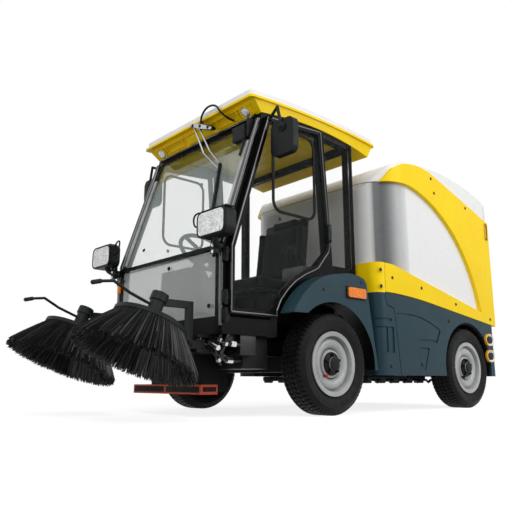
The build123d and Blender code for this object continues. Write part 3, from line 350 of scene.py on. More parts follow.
def lathe(bm, profile, centre, axis, steps=48, index=0):
    """Turn (radius, along) points in metres about an axis through a point."""
    side, up, axis = frame_of(axis)
    rings = []
    for k in range(steps):
        turn = 2 * math.pi * k / steps
        out = side * math.cos(turn) + up * math.sin(turn)
        rings.append([bm.verts.new(centre + out * r + axis * h) for r, h in profile])
    for a, b in zip(rings, rings[1:] + rings[:1]):
        for i in range(len(profile) - 1):
            bm.faces.new([a[i], b[i], b[i + 1], a[i + 1]]).material_index = index


def tube(bm, points, radius, sides=8, index=0):
    """Tube through points in metres, with capped ends."""
    side, up, _ = frame_of(points[1] - points[0])
    rings = []
    for k, point in enumerate(points):
        run = (points[min(k + 1, len(points) - 1)] - points[max(k - 1, 0)]).normalized()
        side = (side - run * side.dot(run)).normalized()
        up = run.cross(side)
        r = radius[k] if isinstance(radius, (list, tuple)) else radius
        spokes = [2 * math.pi * j / sides for j in range(sides)]
        rings.append([bm.verts.new(point + (side * math.cos(t) + up * math.sin(t)) * r) for t in spokes])
    for a, b in zip(rings, rings[1:]):
        for j in range(sides):
            bm.faces.new([a[j], a[(j + 1) % sides], b[(j + 1) % sides], b[j]]).material_index = index
    for ring in (rings[0], rings[-1]):
        bm.faces.new(ring).material_index = index


def curve_through(points, steps=10):
    """Smooth points in metres through a row of points (Catmull-Rom)."""
    ends = [points[0] * 2 - points[1], *points, points[-1] * 2 - points[-2]]
    out = []
    for a, b, c, d in zip(ends, ends[1:], ends[2:], ends[3:]):
        for k in range(steps):
            t = k / steps
            out.append(0.5 * (2 * b + (c - a) * t + (2 * a - 5 * b + 4 * c - d) * t * t
                              + (3 * b - a - 3 * c + d) * t ** 3))
    return out + [points[-1]]


def slab(bm, centre, size, bevel=0.002, turn=None, index=0):
    """Block with rounded edges, sizes in metres."""
    made = bmesh.ops.create_cube(bm, size=1)
    move = Matrix.Translation(centre) @ (turn.to_4x4() if turn else Matrix()) @ Matrix.Diagonal((*size, 1))
    bmesh.ops.transform(bm, matrix=move, verts=made["verts"])
    faces = {f for v in made["verts"] for f in v.link_faces}
    for face in faces:
        face.material_index = index
    if bevel:
        edges = {e for f in faces for e in f.edges}
        bmesh.ops.bevel(bm, geom=list(edges), offset=bevel, segments=2, affect="EDGES", profile=0.7)


def dome_bolt(bm, point, normal, radius=0.008, index=0):
    """Low domed bolt head on a washer."""
    r = radius
    profile = [(r * 1.5, -0.001), (r * 1.5, r * 0.2), (r, r * 0.25), (r * 0.85, r * 0.7),
               (r * 0.4, r * 0.95), (0, r)]
    lathe(bm, profile, point, normal, 14, index)


# Brushes

# The left brush: its centre, tip radius and height in millimetres, and its tilt in degrees
BRUSH = {"x": 433, "y": -1223, "z": 300, "tip": 346, "height": 218, "tilt": 23}


def brush_points(side):
    """A function from radius, turn and height on a brush's spindle to a point."""
    tilt = math.radians(BRUSH["tilt"])
    axis = Vector((0, math.sin(tilt), math.cos(tilt)))
    ex = Vector((1, 0, 0))
    ey = axis.cross(ex)
    centre = at(side * BRUSH["x"], BRUSH["y"], BRUSH["z"])

    def point(radius, turn, height):
        out = ex * math.cos(turn) + ey * math.sin(turn)
        return centre + (out * radius + axis * height) / 1000

    return point


# Rows of bristles: radius at the plate, radius at the tip, bristles in the row
BRISTLE_ROWS = [(194, 344, 1250), (184, 330, 950), (172, 312, 800), (160, 292, 700), (150, 278, 620)]
# Section of the dark core behind them: radius and height
BRISTLE_CORE = [(188, 214), (250, 120), (306, 40), (262, 40), (160, 214)]
CORE_STEPS = 96


def bristles(hand, side):
    """Ring of loose bristles in five rows with a dark core behind them."""
    rng = random.Random(11 + side)
    point = brush_points(side)
    bm = bmesh.new()
    for root, tip, count in BRISTLE_ROWS:
        for k in range(count):
            turn = 2 * math.pi * (k + rng.uniform(-0.4, 0.4)) / count
            clump = 7 * math.sin(turn * 37 + root) + 5 * math.sin(turn * 61)
            reach = min(BRUSH["tip"], tip + rng.uniform(-14, 4) + clump * 0.5)
            drift = rng.gauss(0, 0.012) + 0.012 * math.sin(turn * 44 + root)
            low = rng.uniform(0, 22) + max(0, clump)
            path = [
                point(root, turn, BRUSH["height"] - 1),
                point(root + (reach - root) * 0.36, turn + drift * 0.2, BRUSH["height"] * 0.66 + low * 0.3),
                point(root + (reach - root) * 0.72, turn + drift * 0.6, BRUSH["height"] * 0.31 + low * 0.6),
                point(reach, turn + drift, low),
            ]
            shade = rng.choices((0, 1, 2), (0.66, 0.27, 0.07))[0]
            tube(bm, path, [0.0022, 0.0026, 0.0024, 0.0016], 3, shade)
    obj = piece(f"bristles_{hand}", bm, f"brush_{hand}", "bristle", BRISTLE, BRISTLE_GREY, BRISTLE_WORN)
    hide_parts(f"brush_bristles_{hand}")
    core = bmesh.new()
    turns = [2 * math.pi * k / CORE_STEPS for k in range(CORE_STEPS)]
    rings = [[core.verts.new(point(r, turn, h)) for turn in turns] for r, h in BRISTLE_CORE]
    for a, b in zip(rings, rings[1:] + rings[:1]):
        for k in range(CORE_STEPS):
            j = (k + 1) % CORE_STEPS
            core.faces.new([a[k], a[j], b[j], b[k]])
    piece(f"bristle_core_{hand}", core, f"brush_{hand}", "bristle", SEAL)


for hand, side in SIDES.items():
    bristles(hand, side)


# Wheels

# Side of a tyre from the bead to the tread: radius and distance from the middle plane, in metres
TYRE_SIDE = [
    (0.180, 0.0740), (0.1975, 0.0740), (0.2050, 0.0765), (0.2085, 0.0800), (0.2140, 0.0800),
    (0.2220, 0.0845), (0.2460, 0.0925), (0.2610, 0.0915), (0.2630, 0.0926), (0.2665, 0.0926),
    (0.2685, 0.0908), (0.2840, 0.0860), (0.2920, 0.0790), (0.2985, 0.0715), (0.3005, 0.0600),
]
# Ribs of tread blocks: inner and outer edge, and the skew of their ends in block lengths
TREAD_RIBS = [(-0.0780, -0.0490, 0.3), (-0.0440, -0.0180, -0.5), (-0.0130, 0.0130, 0.5),
              (0.0180, 0.0440, -0.5), (0.0490, 0.0780, 0.3)]
TREAD_BLOCKS = 62
# Radius of the tread, half its flat width and how fast it falls to the shoulder
TREAD_R, TREAD_FLAT, TREAD_FALL = 0.308, 0.060, 29


def tread_radius(x):
    """Radius of the worn tread across its width."""
    return TREAD_R - TREAD_FALL * max(0.0, abs(x) - TREAD_FLAT) ** 2


def tread_block(bm, centre, x0, x1, turn, length, skew):
    """One block of tread, bent round the shoulder."""
    rings = []
    for x in (x0, (x0 + x1) / 2, x1):
        lean = skew * (x - x0) / (x1 - x0)
        for share, sink in ((0, 0.010), (0.06, 0), (0.94, 0), (1, 0.010)):
            angle = turn + length * (share + lean)
            r = tread_radius(x) - sink
            rings.append(bm.verts.new(centre + Vector((x, r * math.cos(angle), r * math.sin(angle)))))
    for k in (0, 4):
        for j in range(3):
            bm.faces.new([rings[k + j], rings[k + j + 1], rings[k + j + 5], rings[k + j + 4]])
    bm.faces.new(rings[:4])
    bm.faces.new(rings[8:])


def tyre(axle, hand):
    """Tyre with ringed sidewalls and five ribs of tread blocks."""
    node = f"tyre_{axle}_{hand}"
    low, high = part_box(node)
    centre = (low + high) / 2
    bm = bmesh.new()
    other_side = [(r, -h) for r, h in reversed(TYRE_SIDE)]
    lathe(bm, TYRE_SIDE + other_side, centre, (1, 0, 0), 96)
    pitch = 2 * math.pi / TREAD_BLOCKS
    for row, (x0, x1, skew) in enumerate(TREAD_RIBS):
        for k in range(TREAD_BLOCKS):
            tread_block(bm, centre, x0, x1, (k + row * 0.37) * pitch, pitch * 0.76, skew)
    obj = piece(f"treaded_{node}", bm, f"wheel_{axle}_{hand}", "tyre", TYRE)
    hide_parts(node)


# Black hub over the rim's centre: radius and distance out from the wheel's middle plane
HUB_CAP = [
    (0.0700, 0.0560), (0.0720, 0.0590), (0.0700, 0.0660), (0.0500, 0.0680), (0.0470, 0.0700),
    (0.0430, 0.0780), (0.0410, 0.0900), (0.0360, 0.0915), (0.0330, 0.0920), (0.0150, 0.0930), (0.0, 0.0930),
]
# Pressed ring of the wheel's disc between the hub's pocket and the flange
WHEEL_DISC = [
    (0.0930, 0.0430), (0.0960, 0.0500), (0.1050, 0.0600), (0.1180, 0.0660), (0.1340, 0.0670),
    (0.1470, 0.0630), (0.1550, 0.0550), (0.1580, 0.0430),
]
# A wheel nut, the circle the nuts stand on and a black ring inside the rim's flange, painted shade in its
# groove
WHEEL_NUT = [(0.0125, 0), (0.0125, 0.002), (0.0098, 0.003), (0.0098, 0.014), (0.006, 0.018), (0, 0.018)]
NUT_CIRCLE = 0.057
RIM_GROOVE_SHADE = [(0.1660, 0.0590), (0.1685, 0.0610), (0.1685, 0.0640), (0.1660, 0.0650)]


def hub(axle, hand, side):
    """Hub cap with five nuts, a valve and a black ring of painted shade in the rim's groove, and the wheel's
    disc.
    """
    low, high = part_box(f"tyre_{axle}_{hand}")
    centre = (low + high) / 2
    out = Vector((side, 0, 0))
    bm = bmesh.new()
    lathe(bm, HUB_CAP, centre, out, 32)
    for k in range(5):
        turn = 2 * math.pi * (k + 0.3) / 5
        spot = centre + Vector((0, NUT_CIRCLE * math.cos(turn), NUT_CIRCLE * math.sin(turn))) + out * 0.066
        lathe(bm, WHEEL_NUT, spot, out, 6)
    valve = centre + Vector((0, -0.078, -0.072)) + out * 0.050
    tube(bm, [valve, valve + out * 0.022], 0.006, 8)
    cap = [valve + out * reach for reach in (0.020, 0.040, 0.044)]
    cap_index = 2 if (axle, hand) == ("front", "left") else 0
    tube(bm, cap, [0.0095, 0.0095, 0.006], 10, cap_index)
    # Black ring at the flange: painted shade of the rim's groove
    lathe(bm, RIM_GROOVE_SHADE, centre, out, 64, 1)
    piece(f"hub_{axle}_{hand}", bm, f"wheel_{axle}_{hand}", "black_plastic", HUB_BLACK, SEAL, RED)
    bm = bmesh.new()
    lathe(bm, WHEEL_DISC, centre, out, 72)
    piece(f"wheel_disc_{axle}_{hand}", bm, f"wheel_{axle}_{hand}", "rim_silver", RIM)


for axle in ("front", "rear"):
    for hand, side in SIDES.items():
        tyre(axle, hand)
        hub(axle, hand, side)


# Seat

# Cushions blown up as cloth: mesh size in metres, pressure, frames and the furthest a point may move
VOXEL, PRESSURE, SWELL_FRAMES, SWELL_LIMIT = 0.006, 4, 20, 0.010
SEAT_LEAN = -0.12
# Knob of a lever: radius and distance along it, in metres
LEVER_KNOB = [(0, 0), (0.010, 0.002), (0.017, 0.014), (0.018, 0.028), (0.012, 0.040), (0, 0.043)]


def cushion(name, centre, size, lean=0.0):
    """Padded cushion: a rounded block blown up as cloth."""
    bm = bmesh.new()
    slab(bm, Vector(), [s * 0.94 for s in size], min(size) * 0.3)
    mesh = bpy.data.meshes.new(name)
    bm.to_mesh(mesh)
    bm.free()
    mesh.materials.append(CLOTH)
    obj = bpy.data.objects.new(name, mesh)
    bpy.context.scene.collection.objects.link(obj)
    obj.matrix_world = Matrix.Translation(centre) @ Matrix.Rotation(lean, 4, "X")
    bpy.context.view_layer.update()
    swell(obj)
    mesh = obj.data
    mesh.transform(obj.matrix_world)
    obj.matrix_world = Matrix()
    mesh.shade_smooth()
    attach(obj, "chassis")
    return obj


def apply_modifiers(obj):
    """Keep the modified mesh and drop the modifiers."""
    depsgraph = bpy.context.evaluated_depsgraph_get()
    mesh = bpy.data.meshes.new_from_object(obj.evaluated_get(depsgraph))
    obj.modifiers.clear()
    obj.data = mesh


def swell(obj):
    """Blow a block up as a cloth bag by a few millimetres."""
    remesh = obj.modifiers.new("remesh", "REMESH")
    remesh.mode = "VOXEL"
    remesh.voxel_size = VOXEL
    apply_modifiers(obj)
    before = [v.co.copy() for v in obj.data.vertices]
    bag = obj.modifiers.new("bag", "CLOTH")
    bag.settings.use_pressure = True
    bag.settings.uniform_pressure_force = PRESSURE
    bag.settings.effector_weights.gravity = 0
    scene = bpy.context.scene
    for k in range(1, SWELL_FRAMES + 1):
        scene.frame_set(k)
    apply_modifiers(obj)
    scene.frame_set(1)
    for vert, start in zip(obj.data.vertices, before):
        move = vert.co - start
        if move.length > SWELL_LIMIT:
            vert.co = start + move.normalized() * SWELL_LIMIT
    smooth = obj.modifiers.new("smooth", "SUBSURF")
    smooth.levels = 1
    apply_modifiers(obj)


def seat():
    """Driver's seat: shell on a frame, two cushions, side bolsters and a headrest."""
    bm = bmesh.new()
    slab(bm, at(0, 65, 760), (0.38, 0.39, 0.08), 0.012)
    slab(bm, at(0, 60, 812), (0.46, 0.47, 0.022), 0.008)
    tilt = Matrix.Rotation(-0.1194, 3, "X")
    slab(bm, at(0, 307, 1150), (0.45, 0.018, 0.50), 0.008, tilt)
    for x in (-70, 70):
        tube(bm, [at(x, 322, 1370), at(x, 329, 1405)], 0.007, 10)
    frame_piece = piece("seat_shell", bm, "chassis", "black_plastic", PLASTIC)
    parts = [
        cushion("seat_cushion", at(0, 58, 862), (0.40, 0.46, 0.085)),
        cushion("seat_back", at(0, 268, 1130), (0.38, 0.085, 0.44), SEAT_LEAN),
        cushion("headrest", at(0, 320, 1372), (0.26, 0.055, 0.07), SEAT_LEAN),
    ]
    for hand, x in (("right", -214), ("left", 214)):
        parts.append(cushion(f"bolster_low_{hand}", at(x, 58, 866), (0.05, 0.44, 0.075)))
        back = at(x * 0.96, 258, 1130)
        parts.append(cushion(f"bolster_back_{hand}", back, (0.045, 0.075, 0.42), SEAT_LEAN))
    for obj in (frame_piece, *parts):
        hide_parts("seat")


def cab_inside():
    """Consoles beside the seat, levers and pedals."""
    bm = bmesh.new()
    slab(bm, at(392, 110, 905), (0.20, 0.26, 0.10), 0.03)
    slab(bm, at(-392, 110, 905), (0.20, 0.26, 0.10), 0.03)
    piece("side_consoles", bm, "chassis", "case_grey", CASE_GREY)
    bm = bmesh.new()
    for x, lean in ((330, 0.03), (372, 0.05), (414, 0.02)):
        foot, head = at(x, 20, 946), at(x + lean * 300, -26, 1050)
        tube(bm, [foot, (foot + head) / 2, head], [0.007, 0.006, 0.006], 10)
        lathe(bm, LEVER_KNOB, head, (0, -0.3, 1), 16)
    for x in (-90, 20):
        tube(bm, [at(x, -700, 640), at(x, -668, 590), at(x, -640, 566)], 0.008, 8)
        slab(bm, at(x, -628, 572), (0.060, 0.010, 0.080), 0.003, Matrix.Rotation(0.6, 3, "X"))
    piece("levers_and_pedals", bm, "chassis", "black_plastic", PLASTIC)


seat()
cab_inside()


# Roof

# The roof's sloping front, as it runs forward and rises in millimetres, and the way it faces
FASCIA_RUN, FASCIA_RISE = 143, 128
FASCIA_FACE = Vector((0, -FASCIA_RISE, -FASCIA_RUN)).normalized()
# The windscreen's slope, as it runs back and rises
SCREEN_RUN, SCREEN_RISE = 302, 908
# A work lamp's ring and lens: radius and distance out, in metres
LAMP_RING = [(0.036, 0.0), (0.048, 0.006), (0.050, 0.010), (0.046, 0.014), (0.036, 0.012)]
LAMP_FACE = [(0.0335, 0.0125), (0.030, 0.0150), (0.016, 0.0168), (0, 0.0172)]


def on_fascia(x, rise, off):
    """Point on the roof's sloping front, by its distance up the slope and off the face."""
    slope = Vector((0, -FASCIA_RUN, FASCIA_RISE)).normalized()
    foot = at(x, -433 - FASCIA_RUN * 34 / FASCIA_RISE, 1866)
    return foot + (slope * rise + FASCIA_FACE * off) / 1000


def fascia():
    """Pressed ribs round the fascia's panels, the swelling at its middle and the lamp rings."""
    bm = bmesh.new()
    turn = Matrix.Rotation(math.radians(48.2), 3, "X")
    for x, rise, width, height in (
        (0, 6, 1.060, 0.010), (0, 78, 1.090, 0.010), (-336, 20, 0.26, 0.006), (336, 20, 0.26, 0.006),
        (-336, 62, 0.26, 0.006), (336, 62, 0.26, 0.006),
    ):
        slab(bm, on_fascia(x, rise, 5), (width, 0.022, height), 0.004, turn)
    for x in (-532, -410, -200, 200, 410, 532):
        slab(bm, on_fascia(x, 42, 5), (0.010, 0.022, 0.070), 0.004, turn)
    plan = [(-165, 8), (165, 8), (120, 70), (-120, 70)]
    swell_face = [bm.verts.new(on_fascia(x * 0.86, 40 + (r - 40) * 0.8, 26)) for x, r in plan]
    swell_foot = [bm.verts.new(on_fascia(x, r, -1)) for x, r in plan]
    bm.faces.new(swell_face)
    for a in range(4):
        b = (a + 1) % 4
        bm.faces.new([swell_foot[a], swell_foot[b], swell_face[b], swell_face[a]])
    piece("fascia_ribs", bm, "chassis", "yellow", YELLOW)
    for hand, side in SIDES.items():
        bm = bmesh.new()
        spot = at(side * 480, -503, 1888)
        lathe(bm, LAMP_RING, spot, FASCIA_FACE, 32)
        lathe(bm, LAMP_FACE, spot, FASCIA_FACE, 32, 1)
        piece(f"work_lamp_ring_{hand}", bm, "chassis", "yellow", YELLOW, LAMP)


def seals():
    """Black strip under the fascia with its bright line, and a dark yellow strip on the screen: painted shade
    of the roof's underside seen through the glass.
    """
    bm = bmesh.new()
    slab(bm, at(0, -474, 1852), (1.07, 0.020, 0.026), 0.004, Matrix.Rotation(math.radians(-18.4), 3, "X"))
    slab(bm, at(0, -486, 1846), (1.04, 0.003, 0.003), 0.0008, None, 1)
    piece("screen_head_seal", bm, "chassis", "black_plastic", SEAL, STEEL)
    foot = (-471 - 196 * SCREEN_RUN / SCREEN_RISE, 1642)
    pane_film("painted_roof_shade", PAINTED_ROOF_SHADE, 1072, (-471, 1838), foot, columns=24, rows=6)


def pane_film(name, material, width, top, foot, inside=12.5, columns=12, rows=8):
    """Tinted film behind a flat pane between two (station, height) edges."""
    bm = bmesh.new()
    grid = []
    for r in range(rows + 1):
        y, z = (a + (b - a) * r / rows for a, b in zip(top, foot))
        places = [at(width * (c / columns - 0.5), y + inside, z) for c in range(columns + 1)]
        grid.append([bm.verts.new(place) for place in places])
    for a, b in zip(grid, grid[1:]):
        for c in range(columns):
            bm.faces.new([a[c], a[c + 1], b[c + 1], b[c]])
    piece(name, bm, "chassis", "clear_glass", material)


# Bright plate on the wiper's head (across, up) and its two arms, in millimetres
WIPER_PLATE = [(25, 1916), (70, 1908), (150, 1880), (215, 1850), (272, 1818), (262, 1806), (190, 1832),
               (120, 1858), (60, 1888), (22, 1902)]
WIPER_ARMS = [
    [(52, -606, 1902), (150, -589, 1682), (336, -600, 1517)],
    [(109, -606, 1882), (212, -589, 1684), (330, -590, 1556)],
]


def wiper_shine():
    """Plated head and arms of the wiper, with the bolts of its head."""
    bm = bmesh.new()
    front = [bm.verts.new(at(x, -622, z)) for x, z in WIPER_PLATE]
    back = [bm.verts.new(at(x, -618, z)) for x, z in WIPER_PLATE]
    bm.faces.new(front)
    bm.faces.new(back)
    for k in range(len(front)):
        j = (k + 1) % len(front)
        bm.faces.new([front[k], front[j], back[j], back[k]])
    for arm in WIPER_ARMS:
        points = [at(*spot) for spot in arm]
        for a, b in zip(points, points[1:]):
            tube(bm, [a, b], 0.0066, 12)
    for x, z in ((60, 1898), (142, 1868), (230, 1832)):
        dome_bolt(bm, at(x, -622, z), (0, -1, 0), 0.008, 1)
    piece("wiper_plating", bm, "chassis", "black_plastic", CHROME, BOLT)


fascia()
seals()
wiper_shine()
pane_film("screen_film", FILM, 1070, (-536, 1642), (-760, 970))
pane_film("lower_film", SMOKE, 1080, (-765, 938), (-765, 505), 3)


# Lamps

# Bezel of the left headlamp: edges across and up, corner radius and station, in millimetres
BEZEL_X, BEZEL_Z, BEZEL_ROUND, BEZEL_Y = (506, 752), (984, 1134), 42, -885
# Its section: growth about the middle and distance back
BEZEL_SECTION = [(1.0, 6), (1.02, -4), (1.0, -9), (0.965, -9), (0.955, -5)]
GUARD_LOOP = [(520, -846, 1128), (470, -850, 1150), (436, -856, 1140), (430, -860, 1105),
              (452, -860, 1070), (512, -850, 1062)]


def bezel_ring():
    """Points (across, up) round the left headlamp's bezel."""
    (x0, x1), (z0, z1), r = BEZEL_X, BEZEL_Z, BEZEL_ROUND
    corners = [(x1 - r, z1 - r), (x0 + r, z1 - r), (x0 + r, z0 + r), (x1 - r, z0 + r)]
    ring = []
    for quarter, (cx, cz) in enumerate(corners):
        for k in range(7):
            t = math.radians(90 * quarter + 15 * k)
            ring.append((cx + r * math.cos(t), cz + r * math.sin(t)))
    return ring


def headlamp(hand, side):
    """Black bezel round a headlamp with reflector bowls, a hood, a guard loop and a bracket."""
    bm = bmesh.new()
    ring = bezel_ring()
    mid_x, mid_z = sum(BEZEL_X) / 2, sum(BEZEL_Z) / 2
    rows = []
    for grow, depth in BEZEL_SECTION:
        places = [(mid_x + (x - mid_x) * grow, mid_z + (z - mid_z) * grow) for x, z in ring]
        rows.append([bm.verts.new(at(side * x, BEZEL_Y + depth, z)) for x, z in places])
    for a, b in zip(rows, rows[1:]):
        for k in range(len(ring)):
            j = (k + 1) % len(ring)
            bm.faces.new([a[k], a[j], b[j], b[k]])
    slab(bm, at(side * 640, -846, 1138), (0.21, 0.060, 0.008), 0.003)
    tube(bm, curve_through([at(side * x, y, z) for x, y, z in GUARD_LOOP], 8), 0.0055, 10)
    slab(bm, at(side * 570, -812, 932), (0.046, 0.030, 0.060), 0.004)
    for z in (912, 950):
        dome_bolt(bm, at(side * 570, -829, z), (0, -1, 0), 0.007, 1)
    piece(f"headlamp_trim_{hand}", bm, "chassis", "black_plastic", PLASTIC, STEEL)
    bm = bmesh.new()
    for cx, cz, r in ((568, 1058, 0.054), (672, 1066, 0.046)):
        bowl = [(r, 0.0), (r * 0.8, 0.0015), (r * 0.4, 0.0035), (0, 0.004)]
        lathe(bm, bowl, at(side * cx, -892, cz), (0, -1, 0), 32)
    slab(bm, at(side * 629, -892.5, 1009), (0.17, 0.004, 0.03), 0.0015)
    piece(f"headlamp_bowls_{hand}", bm, "chassis", "lamp_glass", LAMP)


OVAL_STEPS = 40
# A tail lamp from rim to centre: growth of its oval, distance out in millimetres and material
TAIL_LAMP = [(1.0, 741, 0), (1.0, 757, 0), (0.84, 760, 0), (0.80, 754, 1), (0.62, 754, 1),
             (0.58, 757, 2), (0.30, 759, 2)]


def oval(bm, y, z, grow, x, side):
    """Ring of points round a tail lamp."""
    points = []
    r = 50 * grow
    for k in range(OVAL_STEPS):
        t = 2 * math.pi * k / OVAL_STEPS
        flat = 14 if math.cos(t) > 0 else -14
        points.append(bm.verts.new(at(side * x, y + flat + r * math.cos(t), z + r * math.sin(t))))
    return points


def tail_lamps():
    """Oval tail lamps: gold rim, white ring and dark centre."""
    for hand, side in SIDES.items():
        bm = bmesh.new()
        for z in (405, 537):
            rings = [(oval(bm, 1934, z, grow, x, side), index) for grow, x, index in TAIL_LAMP]
            for (a, _), (b, index) in zip(rings, rings[1:]):
                for k in range(OVAL_STEPS):
                    j = (k + 1) % OVAL_STEPS
                    bm.faces.new([a[k], a[j], b[j], b[k]]).material_index = index
            bm.faces.new(rings[-1][0]).material_index = 2
        obj = piece(f"tail_lamp_set_{hand}", bm, "chassis", "red_lens", GOLD_LENS, WHITE, PLASTIC)
        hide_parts("tail_lamps")


def side_lamps():
    """Base plates of the fender lamps."""
    for hand, side in SIDES.items():
        bm = bmesh.new()
        slab(bm, at(side * 744, 212, 760), (0.010, 0.192, 0.080), 0.003)
        piece(f"side_lamp_base_{hand}", bm, "chassis", "black_plastic", PLASTIC)


for hand, side in SIDES.items():
    headlamp(hand, side)
tail_lamps()
side_lamps()


# Screws: body, radius in metres and places in millimetres on the left
SCREWS = [
    ("chassis", 0.009, [(741, 492, 952), (741, 492, 838), (741, -95, 756), (741, 275, 838)]),
    ("hopper", 0.008, [(741, 624, 910), (741, 984, 874), (741, 1457, 794), (741, 1997, 712),
                       (741, 1206, 1772), (741, 1240, 1660), (741, 1715, 1630)]),
    ("chassis", 0.010, [(741, 569, 302), (741, 942, 318), (741, 1342, 653)]),
]


def screws():
    """Dark screws in the panels on both sides."""
    for number, (body, radius, places) in enumerate(SCREWS):
        bm = bmesh.new()
        for x, y, z in places:
            for side in SIDES.values():
                dome_bolt(bm, at(side * x, y, z), (side, 0, 0), radius)
        piece(f"screws_{number}_{body}", bm, body, "chassis_black", BOLT)


# Bend of the hopper's front and the height of the joint round it, in millimetres
NOSE_R, SEAM_Z = 231, 1645


def nose_seam():
    """Dark joint round the front of the hopper, where the steel meets the white top."""
    bm = bmesh.new()
    turns = [math.radians(t) for t in range(0, 66, 5)]
    bend = [(482 + NOSE_R * math.sin(t), 812 - NOSE_R * math.cos(t)) for t in turns]
    line = [(-x, y) for x, y in reversed(bend)] + bend
    tube(bm, [at(x, y, SEAM_Z) for x, y in line], 0.0022, 6)
    piece("nose_seam", bm, "hopper", "hopper_white", SEAL)


def latch(hand, side):
    """Gold hasp on the rear corner of a band."""
    bm = bmesh.new()
    slab(bm, at(side * 744, 2040, 1478), (0.006, 0.042, 0.150), 0.002)
    loop = [(2030, 1545), (2052, 1540), (2056, 1480), (2050, 1424), (2028, 1418)]
    tube(bm, curve_through([at(side * 752, y, z) for y, z in loop], 8), 0.005, 10)
    for z in (1412, 1546):
        dome_bolt(bm, at(side * 747, 2040, z), (side, 0, 0), 0.006, 1)
    piece(f"latch_{hand}", bm, "hopper", "yellow", GOLD, BOLT)


def gate_trim():
    """Pressed ribs, a handle on its plate, bolted straps and reflectors on the rear gate."""
    bm = bmesh.new()
    for z in (860, 1240, 1620):
        slab(bm, at(0, 2113, z), (1.28, 0.008, 0.034), 0.0035)
    for x in (-640, 640):
        slab(bm, at(x, 2113, 1235), (0.034, 0.008, 1.00), 0.0035)
    piece("gate_ribs", bm, "gate", "hopper_white", WHITE)
    bm = bmesh.new()
    slab(bm, at(0, 2112.5, 985), (0.30, 0.005, 0.082), 0.002)
    tube(bm, [at(-112, 2114, 985), at(-104, 2117, 985), at(104, 2117, 985), at(112, 2114, 985)], 0.006, 10, 1)
    for x in (-500, 500):
        slab(bm, at(x, 2113.5, 790), (0.044, 0.006, 0.100), 0.002, None, 1)
        dome_bolt(bm, at(x, 2116, 770), (0, 1, 0), 0.007)
        dome_bolt(bm, at(x, 2116, 810), (0, 1, 0), 0.007)
    piece("gate_handle", bm, "gate", "black_plastic", PLASTIC, STEEL)
    bm = bmesh.new()
    for x in (-560, 560):
        slab(bm, at(x, 2113, 925), (0.10, 0.008, 0.045), 0.003)
    piece("gate_reflectors", bm, "gate", "red_lens", RED)


def pillar_box():
    """Wiper motor's box at the top of the left front pillar, with its rigid pipe."""
    bm = bmesh.new()
    slab(bm, at(452, -522, 1738), (0.120, 0.050, 0.100), 0.008)
    slab(bm, at(530, -512, 1760), (0.022, 0.052, 0.120), 0.006)
    tube(bm, [at(500, -530, 1690), at(516, -560, 1640), at(520, -590, 1560)], 0.009, 8)
    piece("pillar_box", bm, "chassis", "black_plastic", PLASTIC)


def pillar_trim(hand, side):
    """Rounded glossy strip down a front pillar, and a grey strip beside the screen that is a painted
    highlight on the pillar's edge.
    """
    bm = bmesh.new()
    tube(bm, [at(side * 566, -757, 975), at(side * 566, -480, 1815)], 0.017, 16)
    piece(f"pillar_strip_{hand}", bm, "chassis", "cab_black", PILLAR)
    # Grey strip beside the screen: a painted highlight on the pillar's edge
    bm = bmesh.new()
    lean = Matrix.Rotation(math.atan2(SCREEN_RUN, -SCREEN_RISE) + math.pi, 3, "X")
    slab(bm, at(side * 524, -640, 1330), (0.026, 0.014, 0.72), 0.006, lean)
    piece(f"pillar_painted_highlight_{hand}", bm, "chassis", "case_grey", PILLAR_HIGHLIGHT_PAINT)


# Edge of a door seen from the side: stations and heights in millimetres
DOOR_EDGE = [(-726, 582), (-726, 954), (-438, 1826), (46, 1864), (112, 1082), (98, 1034), (-6, 914),
             (-64, 886), (-124, 860), (-211, 810), (-281, 750), (-341, 682), (-376, 612), (-376, 582)]
# Lock barrel of a door and the boss on its mirror: radius and distance out, in metres
LOCK_BARREL = [(0.013, -0.004), (0.013, 0.008), (0.009, 0.010), (0, 0.010)]
MIRROR_BOSS = [(0.030, 0), (0.030, 0.006), (0.024, 0.010), (0.012, 0.012), (0, 0.012)]


def door_edge(hand, side):
    """Glossy beading round the edge of a door."""
    bm = bmesh.new()
    ring = [at(side * 616, y, z) for y, z in DOOR_EDGE]
    for a, b in zip(ring, ring[1:] + ring[:1]):
        tube(bm, [a, b], 0.0055, 10)
    piece(f"door_beading_{hand}", bm, f"door_{hand}", "cab_black", PILLAR)


def door_trim(hand, side):
    """Lock and bolts of a door, and the glass and boss of its mirror."""
    bm = bmesh.new()
    slab(bm, at(side * 640, 87, 1160), (0.012, 0.030, 0.100), 0.004)
    lathe(bm, LOCK_BARREL, at(side * 640, 87, 1190), (side, 0, 0), 20, 1)
    for y, z in ((-34, 1786), (-344, 1180)):
        dome_bolt(bm, at(side * 615, y, z), (side, 0, 0), 0.009, 1)
    piece(f"door_lock_{hand}", bm, f"door_{hand}", "black_plastic", PLASTIC, BOLT)
    bm = bmesh.new()
    slab(bm, at(side * 731, -393, 1655), (0.166, 0.004, 0.196), 0.0015)
    piece(f"mirror_glass_{hand}", bm, f"door_{hand}", "lamp_glass", MIRROR)
    bm = bmesh.new()
    lathe(bm, MIRROR_BOSS, at(side * 743, -443, 1718), (0, -1, 0), 20)
    piece(f"mirror_boss_{hand}", bm, f"door_{hand}", "black_plastic", PLASTIC)


def mouth_shade_strips():
    """Dark strips set into the front and the ends of the suction mouth's frame: painted shade in its
    recesses.
    """
    bm = bmesh.new()
    for x in (-180, 180):
        slab(bm, at(x, -738, 157), (0.338, 0.004, 0.034), 0.001)
    for side in SIDES.values():
        slab(bm, at(side * 366, -677, 158), (0.004, 0.094, 0.026), 0.001)
    piece("mouth_painted_shade", bm, "chassis", "black_plastic", SEAL)


